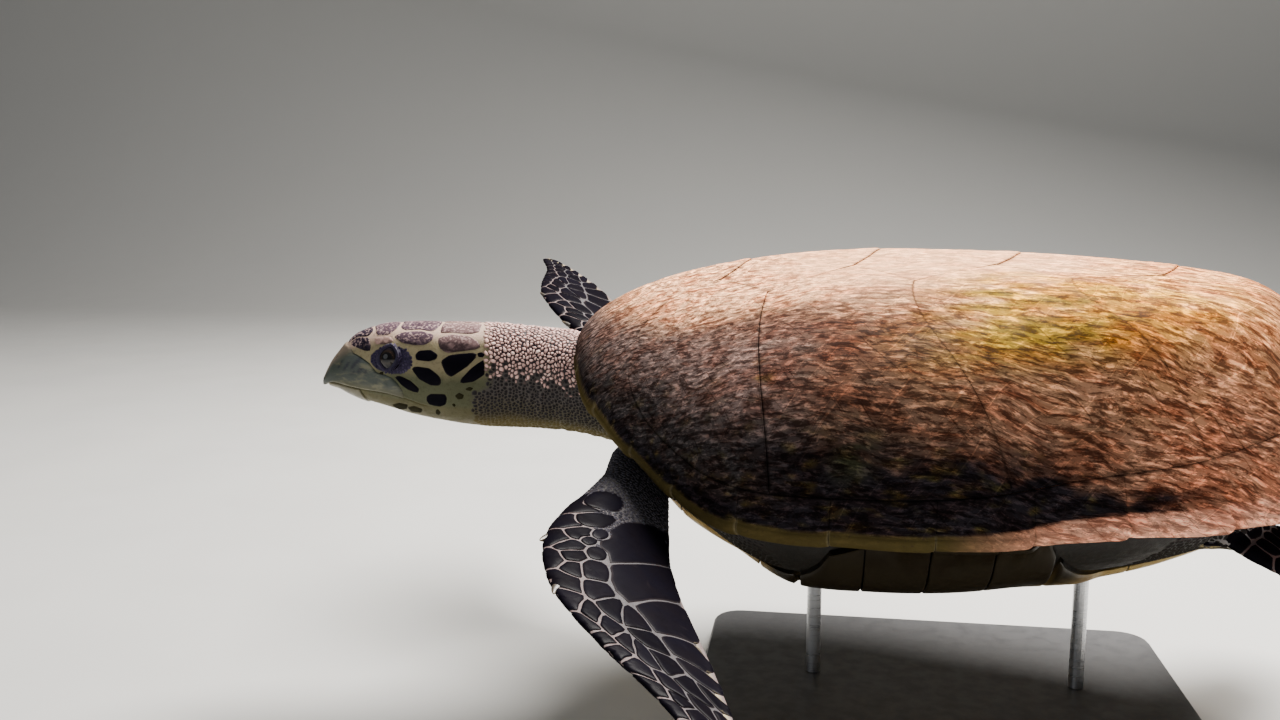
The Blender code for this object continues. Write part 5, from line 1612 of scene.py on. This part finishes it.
def lidSeeds(draw):
    s, v = seedRows(headWrap, 0.27, 0.57, 0.0027, (-1, 1), (0.0028, 0.0028), draw)
    keep = lidReach(s, v) < 0.97
    s, v = s[keep], v[keep]
    plain = headWrap.spot(s, v)
    keep = np.minimum(eyeMeasure(plain, -1)[3], eyeMeasure(plain, 1)[3]) > 1.13
    s, v = s[keep], v[keep]
    lit = rise(cloud(headWrap.spot(s, v), 0.006, 62), -0.2, 0.6)
    core = blend(grainTones["lid"], grainTones["lidLit"], lit) * draw.uniform(0.7, 1.3, len(s))[:, None]
    size = draw.uniform(0.85, 1.15, len(s)) * 0.0017
    return wrapSeeds(headWrap, s, v, headSkin, size, core, grainTones["lidRim"], 0.00035, 0.2, draw)


def limbScaleSeeds(kind, side, draw, high, spacing):
    # Round the limb's root, up to where its plates begin. The hind limb's begin behind the last row
    wrap = limbs[(kind, side)]
    s, v = seedRows(wrap, -0.14, high, spacing * 0.87, (-1, 1), (spacing, spacing), draw)
    x, w = s * wrap.length, np.abs(v * wrap.girth(s))
    rows = foreSeeds(wrap, *forePlates) if kind == "fore" else [(0.13 * wrap.length, 0.0, 0.001, 1.0)]
    measured = np.full(len(s), 99.0)
    c, n = cos(foreLean), sin(foreLean)
    for cx, cw, size, ratio in rows:
        dx, dw = x - cx, w - cw
        measured = np.minimum(measured, np.hypot((dx * c + dw * n) / size, (-dx * n + dw * c) / (size * ratio)))
    keep = measured > 1.16
    if kind == "fore":
        keep &= s < 0.4 - 0.2 * rise(w, 0.0, 0.02) * (w < 0.03)
    s, v = s[keep], v[keep]
    wide = cloud(wrap.spot(s, v), 0.02, 63)
    under = rise(-v, 0.03, 0.1) * rise(v + 1, 0.02, 0.06)
    own = draw.uniform(0.6, 1.4, len(s))[:, None]
    core = blend(grainTones["arm"] * own, grainTones["under"] * (0.85 + 0.15 * own), under)
    rim = blend(grainTones["armRim"] * (1 + 0.3 * wide[:, None]), grainTones["underRim"], under)
    size = draw.uniform(0.7, 1.3, len(s)) * spacing * 0.6
    return wrapSeeds(wrap, s, v, wrap.spot, size, core, rim, 0.0006, 0.3, draw)


def tailSeeds(draw):
    s, v = seedRows(tailWrap, -0.3, 0.97, 0.004, (-1, 1), (0.0044, 0.0044), draw)
    own = draw.uniform(0.7, 1.3, len(s))[:, None]
    core, rim = twoTone((("grey", "greyRim"), ("under", "underRim")), rise(np.abs(v), 0.55, 0.75), own)
    size = draw.uniform(0.8, 1.2, len(s)) * 0.0025
    return wrapSeeds(tailWrap, s, v, tailWrap.spot, size, core, rim, 0.0006, 0.2, draw)


def trunkSeeds(draw):
    # The body's bare skin in front of the shell and behind it, in rows that follow the rim. Its scales, near black
    # and darker low down, are painted shade under the shell
    found = []
    for low, high in ((-62.0, 62.0), (140.0, 220.0)):
        for row, share in enumerate(np.arange(0.3, 0.93, 0.0115)):
            step = 0.005 / float(roundShell(shell["outline"], radians((low + high) / 2)) * share)
            angle = np.arange(radians(low), radians(high), step)
            angle = angle + step * (0.5 * (row % 2) + 0.2 * draw.uniform(-1, 1, len(angle)))
            place = belly(angle, share + 0.002 * draw.uniform(-1, 1, len(angle)))
            chart = stacked(0.05 + 0.9 * share, 0.05 + 0.9 * (angle / (2 * pi) % 1.0))
            found.append(np.concatenate([place, (0, 0, -1) + 0.4 * outwards(angle), chart], axis=1))
    points, normals, chart = np.split(np.concatenate(found), (3, 6), axis=1)
    half = np.interp(points[:, 0] / shellLong + 0.5, plastron["at"], plastron["half"], 0, 0)
    bare = np.abs(points[:, 1]) > (half - 0.008) * shellLong
    points, normals, chart = points[bare], unit(normals[bare]), chart[bare]
    count = len(points)
    under = 1 - rise(points[:, 2] + 0.004 * cloud(points, 0.03, 31), -0.062, -0.028)
    own = draw.uniform(0.7, 1.3, count)[:, None]
    core, rim = twoTone((("grey", "greyRim"), ("groin", "groinRim")), under, own, own)
    size = draw.uniform(0.8, 1.2, count) * 0.0028
    return seedSet(points, normals, chart, size, core, rim, 0.0005, draw.uniform(0.7, 0.95, count), draw)


def nearestOf(points, count, block=600):
    # The nearest other points of each, in blocks
    square = (points ** 2).sum(axis=1)
    near, far = [], []
    for start in range(0, len(points), block):
        some = points[start:start + block]
        table = square[start:start + block, None] + square[None] - 2 * some @ points.T
        own = np.arange(len(some))
        table[own, start + own] = 9.0
        near.append(np.argpartition(table, count, axis=1)[:, :count])
        far.append(np.sqrt(np.maximum(np.take_along_axis(table, near[-1], axis=1), 0)))
    return np.concatenate(near), np.concatenate(far)


def makeGranules():
    draw = np.random.default_rng(11)
    sets = {"neck_scales": neckSeeds(draw), "lid_scales": lidSeeds(draw)}
    for side, word in bothSides:
        sets[f"arm_scales_{word}"] = limbScaleSeeds("fore", side, draw, 0.42, 0.0046)
        sets[f"thigh_scales_{word}"] = limbScaleSeeds("hind", side, draw, 0.13, 0.005)
    sets["tail_scales"] = tailSeeds(draw)
    sets["body_scales"] = trunkSeeds(draw)
    seeds = {key: np.concatenate([found[key] for found in sets.values()]) for key in sets["neck_scales"]}
    seeds["owner"] = np.repeat(np.arange(len(sets)), [len(found["size"]) for found in sets.values()])
    seeds["base"] = landed(seeds["points"])
    keep = np.linalg.norm(seeds["base"] - seeds["points"], axis=1) < 0.006
    seeds = {key: value[keep] for key, value in seeds.items()}
    # Where two forms meet, the seed of the later one goes
    near, distance = nearestOf(seeds["base"], 6)
    size, owner = seeds["size"], seeds["owner"]
    crowd = (distance < 0.75 * (size[near] + size[:, None])) & (owner[near] < owner[:, None])
    seeds = {key: value[~crowd.any(axis=1)] for key, value in seeds.items()}
    base, owner = seeds["base"], seeds["owner"]
    # The skin's own normal, from places landed on either side
    first = unit(np.cross(seeds["normals"], (0.31, 0.17, 0.93)))
    normal = np.cross(*(landed(base + 0.0012 * way) - landed(base - 0.0012 * way)
                        for way in (first, np.cross(seeds["normals"], first))))
    normal = unit(normal)
    normal = np.where((normal * seeds["normals"]).sum(axis=1)[:, None] < 0, -normal, normal)
    first = unit(first - normal * (first * normal).sum(axis=1)[:, None])
    second = np.cross(normal, first)
    near, _ = nearestOf(base, granule["near"])
    away = base[near] - base[:, None]
    offsets = stacked((away * first[:, None]).sum(axis=2), (away * second[:, None]).sum(axis=2))
    shapes = shapeOf(seeds["size"], seeds["ratio"], seeds["turn"])
    count, rings = granule["sides"], granule["rings"]
    theta = circle(count)
    reach = cellReach(offsets, shapes, shapes[near], theta, granule["cap"], 18)
    reach = np.maximum(reach - granule["gap"], 0.4 * reach)
    ring = fanValues(0.0, rings, 0.0, count)
    turn = np.concatenate([[0], np.tile(np.arange(count), len(rings)), [0]])
    out = (reach[:, turn] * ring[None])[..., None]
    x, y = np.cos(theta[turn])[:, None], np.sin(theta[turn])[:, None]
    ground = landed(base[:, None] + first[:, None] * (out * x) + second[:, None] * (out * y))
    level = fanValues(1.0, granule["level"][:-1], granule["level"][-1], count)
    points = ground + normal[:, None] * (seeds["height"][:, None] * level[None])[..., None]
    paleness = fanValues(0.0, granule["rim"][:-1], granule["rim"][-1], count)
    paint = blend(seeds["core"][:, None], seeds["rim"][:, None], paleness[None])
    chart = seeds["chart"][:, None] + np.concatenate([x, y], axis=1) * ring[:, None] * granule["chart"]
    for index, name in enumerate(sets):
        mine = owner == index
        print("scene:", name, int(mine.sum()), "scales")
        scalePiece(name, points[mine], paint[mine], chart[mine], count)


makeHeadPlates()
makeLimbPlates()
print("scene: plates ready")
makeGranules()
print("scene: small scales ready")

# The beak's sheaths: the upper one's rear edge, how far horn stands out, and its dark marks as
# place, half length and half width, all leaning the same way
beakHorn = {
    "rear": ((0.0, 0.117, 0.293, 0.422, 0.506, 0.53, 0.561, 0.612, 0.67),
             (0.135, 0.145, 0.191, 0.289, 0.332, 0.419, 0.452, 0.481, 0.49)),
    "out": 0.0014, "under": 0.0004, "round": 0.0016, "hook": 0.003, "nostril": (0.085, 0.16, 0.0014, 0.002),
    "marks": ((0.11, 0.36, 0.0042, 0.0013), (0.148, 0.42, 0.0056, 0.0018), (0.2, 0.42, 0.0066, 0.0024),
              (0.232, 0.48, 0.0056, 0.0021), (0.225, 0.39, 0.005, 0.0021), (0.262, 0.5, 0.004, 0.0017),
              (0.185, 0.51, 0.004, 0.0014)),
}
# The upper sheath's dark olive sides and the dark lower sheath are partly painted shade on the head's lower side
beakTones = colours(upper=(0.04, 0.05, 0.04), top=(0.25, 0.19, 0.135), edge=(0.1, 0.096, 0.05),
                    mark=(0.009, 0.011, 0.018), lower=(0.085, 0.074, 0.032), nostril=(0.015, 0.012, 0.01))


def beakSheet(name, s, v, distance, hook, tones):
    # A sheath over the jaw whose edges are rounded, closed inside the head
    girth, under = headWrap.girth(s), beakHorn["under"]
    lip = np.sqrt(1 - (1 - np.clip(distance / beakHorn["round"], 0, 1)) ** 2)
    at, up, radius, depth = beakHorn["nostril"]
    apart = np.hypot((s - at) * headLong, (np.abs(v) - up) * girth * 1.3)
    top = headSkin(s, v, -under + (beakHorn["out"] + under) * lip - depth * bump(apart, 0, radius))
    top[..., 2] -= hook
    centre = headPoint(0.16, 0.0, 0.02 if name == "beak_upper" else -0.03)
    points, faces = plateSheet(top, lambda rim, share: rim + (centre - rim) * (0.05 + 0.9 * share))
    # The nostril's dark spot is painted shade inside the opening, over a shallow dent
    tone = blend(tones(s, v, girth, top), beakTones["nostril"], 0.9 * bump(apart, 0, radius * 0.9)).reshape(-1, 3)
    inside = np.broadcast_to(tone.mean(axis=0), (len(points) - len(tone), 3))
    newPiece(name, points, faces, "beak", np.clip(np.concatenate([tone, inside]), 0.003, 1), (name,))


def upperTones(s, v, girth, points):
    a, hue = np.abs(v), beakTones
    wide, fine = cloud(points, 0.014, 71), cloud(points * (1, 1, 2.5), 0.004, 72)
    # Dark sides below the pale top: partly painted shade
    tone = blend(hue["top"], hue["upper"], rise(a + 0.05 * wide, 0.12, 0.34), hue["edge"], rise(a, 0.58, 0.66))
    tone = tone * (1 + 0.18 * wide[..., None] + 0.12 * fine[..., None])
    for at, up, long, across in beakHorn["marks"]:
        x, w = (s - at) * headLong, (a - up) * girth
        along, aside = 0.7 * x - 0.71 * w, 0.71 * x + 0.7 * w + 0.0006 * wide
        tone = blend(tone, hue["mark"], 0.95 * (1 - rise(np.hypot(along / long, aside / across), 0.6, 1.15)))
    return tone


def lowerTones(s, v, girth, points):
    tone = beakTones["lower"] * (1 + 0.2 * cloud(points, 0.012, 73)[..., None])
    streak = rise(cloud(points * (1, 1, 2), 0.006, 74), 0.35, 0.6)
    return blend(tone, beakTones["mark"], 0.55 * streak * rise(s, 0.06, 0.12))


def makeBeak():
    # Both run from one mouth line over the top, or under the chin, to the other: v = sine * line
    across = np.sin(np.linspace(-pi / 2, pi / 2, 121))[None]
    run = ((1 - np.cos(np.linspace(0, pi, 72))) / 2)[:, None]
    side, front = 1 - np.abs(across), 0.0115
    rear = np.interp(np.abs(across) * 0.67, *beakHorn["rear"])
    s = -front + (rear + front) * run
    v = across * (mouthLine(s) - 0.004)
    # The rear edge is oblique, so its distance is measured square to it
    distance = np.minimum(side * mouthLine(s) * headWrap.girth(s), (1 - run) * 0.12 * headLong)
    distance = np.where(s < 0.02, np.maximum(distance, beakHorn["round"] * rise(0.02 - s, 0, 0.02)), distance)
    hook = beakHorn["hook"] * ease(1 - np.maximum(s, 0) / 0.06) * across ** 2
    beakSheet("beak_upper", s, v, distance, hook, upperTones)
    front = 0.022
    s = front + (0.27 - 0.05 * across ** 2 - front) * run
    v = 1 + across * (1 - mouthLine(s) - 0.008)
    distance = np.minimum(side * (1 - mouthLine(s)) * headWrap.girth(s), np.minimum(run, 1 - run) * 0.24 * headLong)
    beakSheet("beak_lower", s, np.where(v > 1, v - 2, v), distance, 0 * s, lowerTones)


eyeTones = colours(pupil=(0.0035, 0.003, 0.004), iris=(0.014, 0.0085, 0.006), white=(0.006, 0.0045, 0.007))


def makeEyes():
    # Balls with a slight bulge in front: radius * (1 + 0.045 * bell of the angle from the axis)
    for side, word in bothSides:
        centre, axis, ahead, over = eyeFrame(side)
        angle = np.concatenate([np.linspace(0.02, 1.4, 46), np.linspace(1.48, 3.12, 16)])[:, None]
        turn = circle(72)[None]
        radius = eye["radius"] * (1 + 0.045 * bump(angle, 0, 0.55))[..., None]
        rings = centre + radius * (np.cos(angle)[..., None] * axis + (np.sin(angle) * np.cos(turn))[..., None] * ahead
                                   + (np.sin(angle) * np.sin(turn))[..., None] * over)
        points, faces = closedLoft(rings, centre + axis * eye["radius"] * 1.045, centre - axis * eye["radius"])
        wide = np.concatenate([np.broadcast_to(angle, rings.shape[:2]).reshape(-1), [0, pi]])
        fibre = cloud(points - centre, 0.0012, 75)[:, None]
        tone = blend(eyeTones["pupil"], eyeTones["iris"] * (1 + 0.5 * fibre), rise(wide, 0.36, 0.42),
                     eyeTones["white"], rise(wide, 0.56, 0.64))
        newPiece(f"eye_{word}", points, faces, "eye", np.clip(tone, 0.002, 1), (f"eye_{word}",))


# Claws at the leading edges: span, length beyond the edge, radius
clawSpecs = {"fore": ((0.4, 0.0078, 0.0044), (0.6, 0.0064, 0.0036)),
             "hind": ((0.55, 0.0064, 0.0036), (0.74, 0.0054, 0.003))}
clawTones = colours(root=(0.045, 0.036, 0.028), tip=(0.15, 0.115, 0.075))


def makeClaws():
    # Round cones that bend back along the edge: the middle line adds t to the power 2.2, the
    # radius goes as 1 - t to the power 0.62
    for (kind, side), wrap in limbs.items():
        for index, (at, long, wide) in enumerate(clawSpecs[kind]):
            root = wrap.spot(at, 0.0)
            out = wrap.normal(at, 0.0)
            tipwards = wrap.spot(at + 0.03, 0.0) - root
            tipwards /= np.linalg.norm(tipwards)
            up = np.cross(out, tipwards)
            up *= np.sign(up[2])
            t = np.linspace(0, 0.985, 26)[:, None]
            turn = circle(22)[None]
            middle = (root - out * 0.004 + (out * 0.66 + tipwards * 0.75) * (t * (long + 0.004))[..., None]
                      + (tipwards * 0.3 - out * 0.15) * (long * t ** 2.2)[..., None])
            girth = wide * (1 - t) ** 0.62 * (1 + 0.02 * np.sin(t * 60))
            across = out * 0.75 - tipwards * 0.66
            rings = (middle + (girth * np.cos(turn))[..., None] * across
                     + (0.72 * girth * np.sin(turn))[..., None] * up)
            points, faces = closedLoft(rings)
            share = np.concatenate([np.broadcast_to(t, rings.shape[:2]).reshape(-1), [0, 1]])
            tone = blend(clawTones["root"], clawTones["tip"], rise(share, 0.5, 1))
            name = f"claw_{'front' if kind == 'fore' else 'rear'}_{'left' if side < 0 else 'right'}_{index + 1}"
            newPiece(name, points, faces, "claw", tone * (1 + 0.2 * cloud(points, 0.002, 76)[:, None]), (name,))


makeBeak()
makeEyes()
makeClaws()
print("scene: beak, eyes and claws ready")
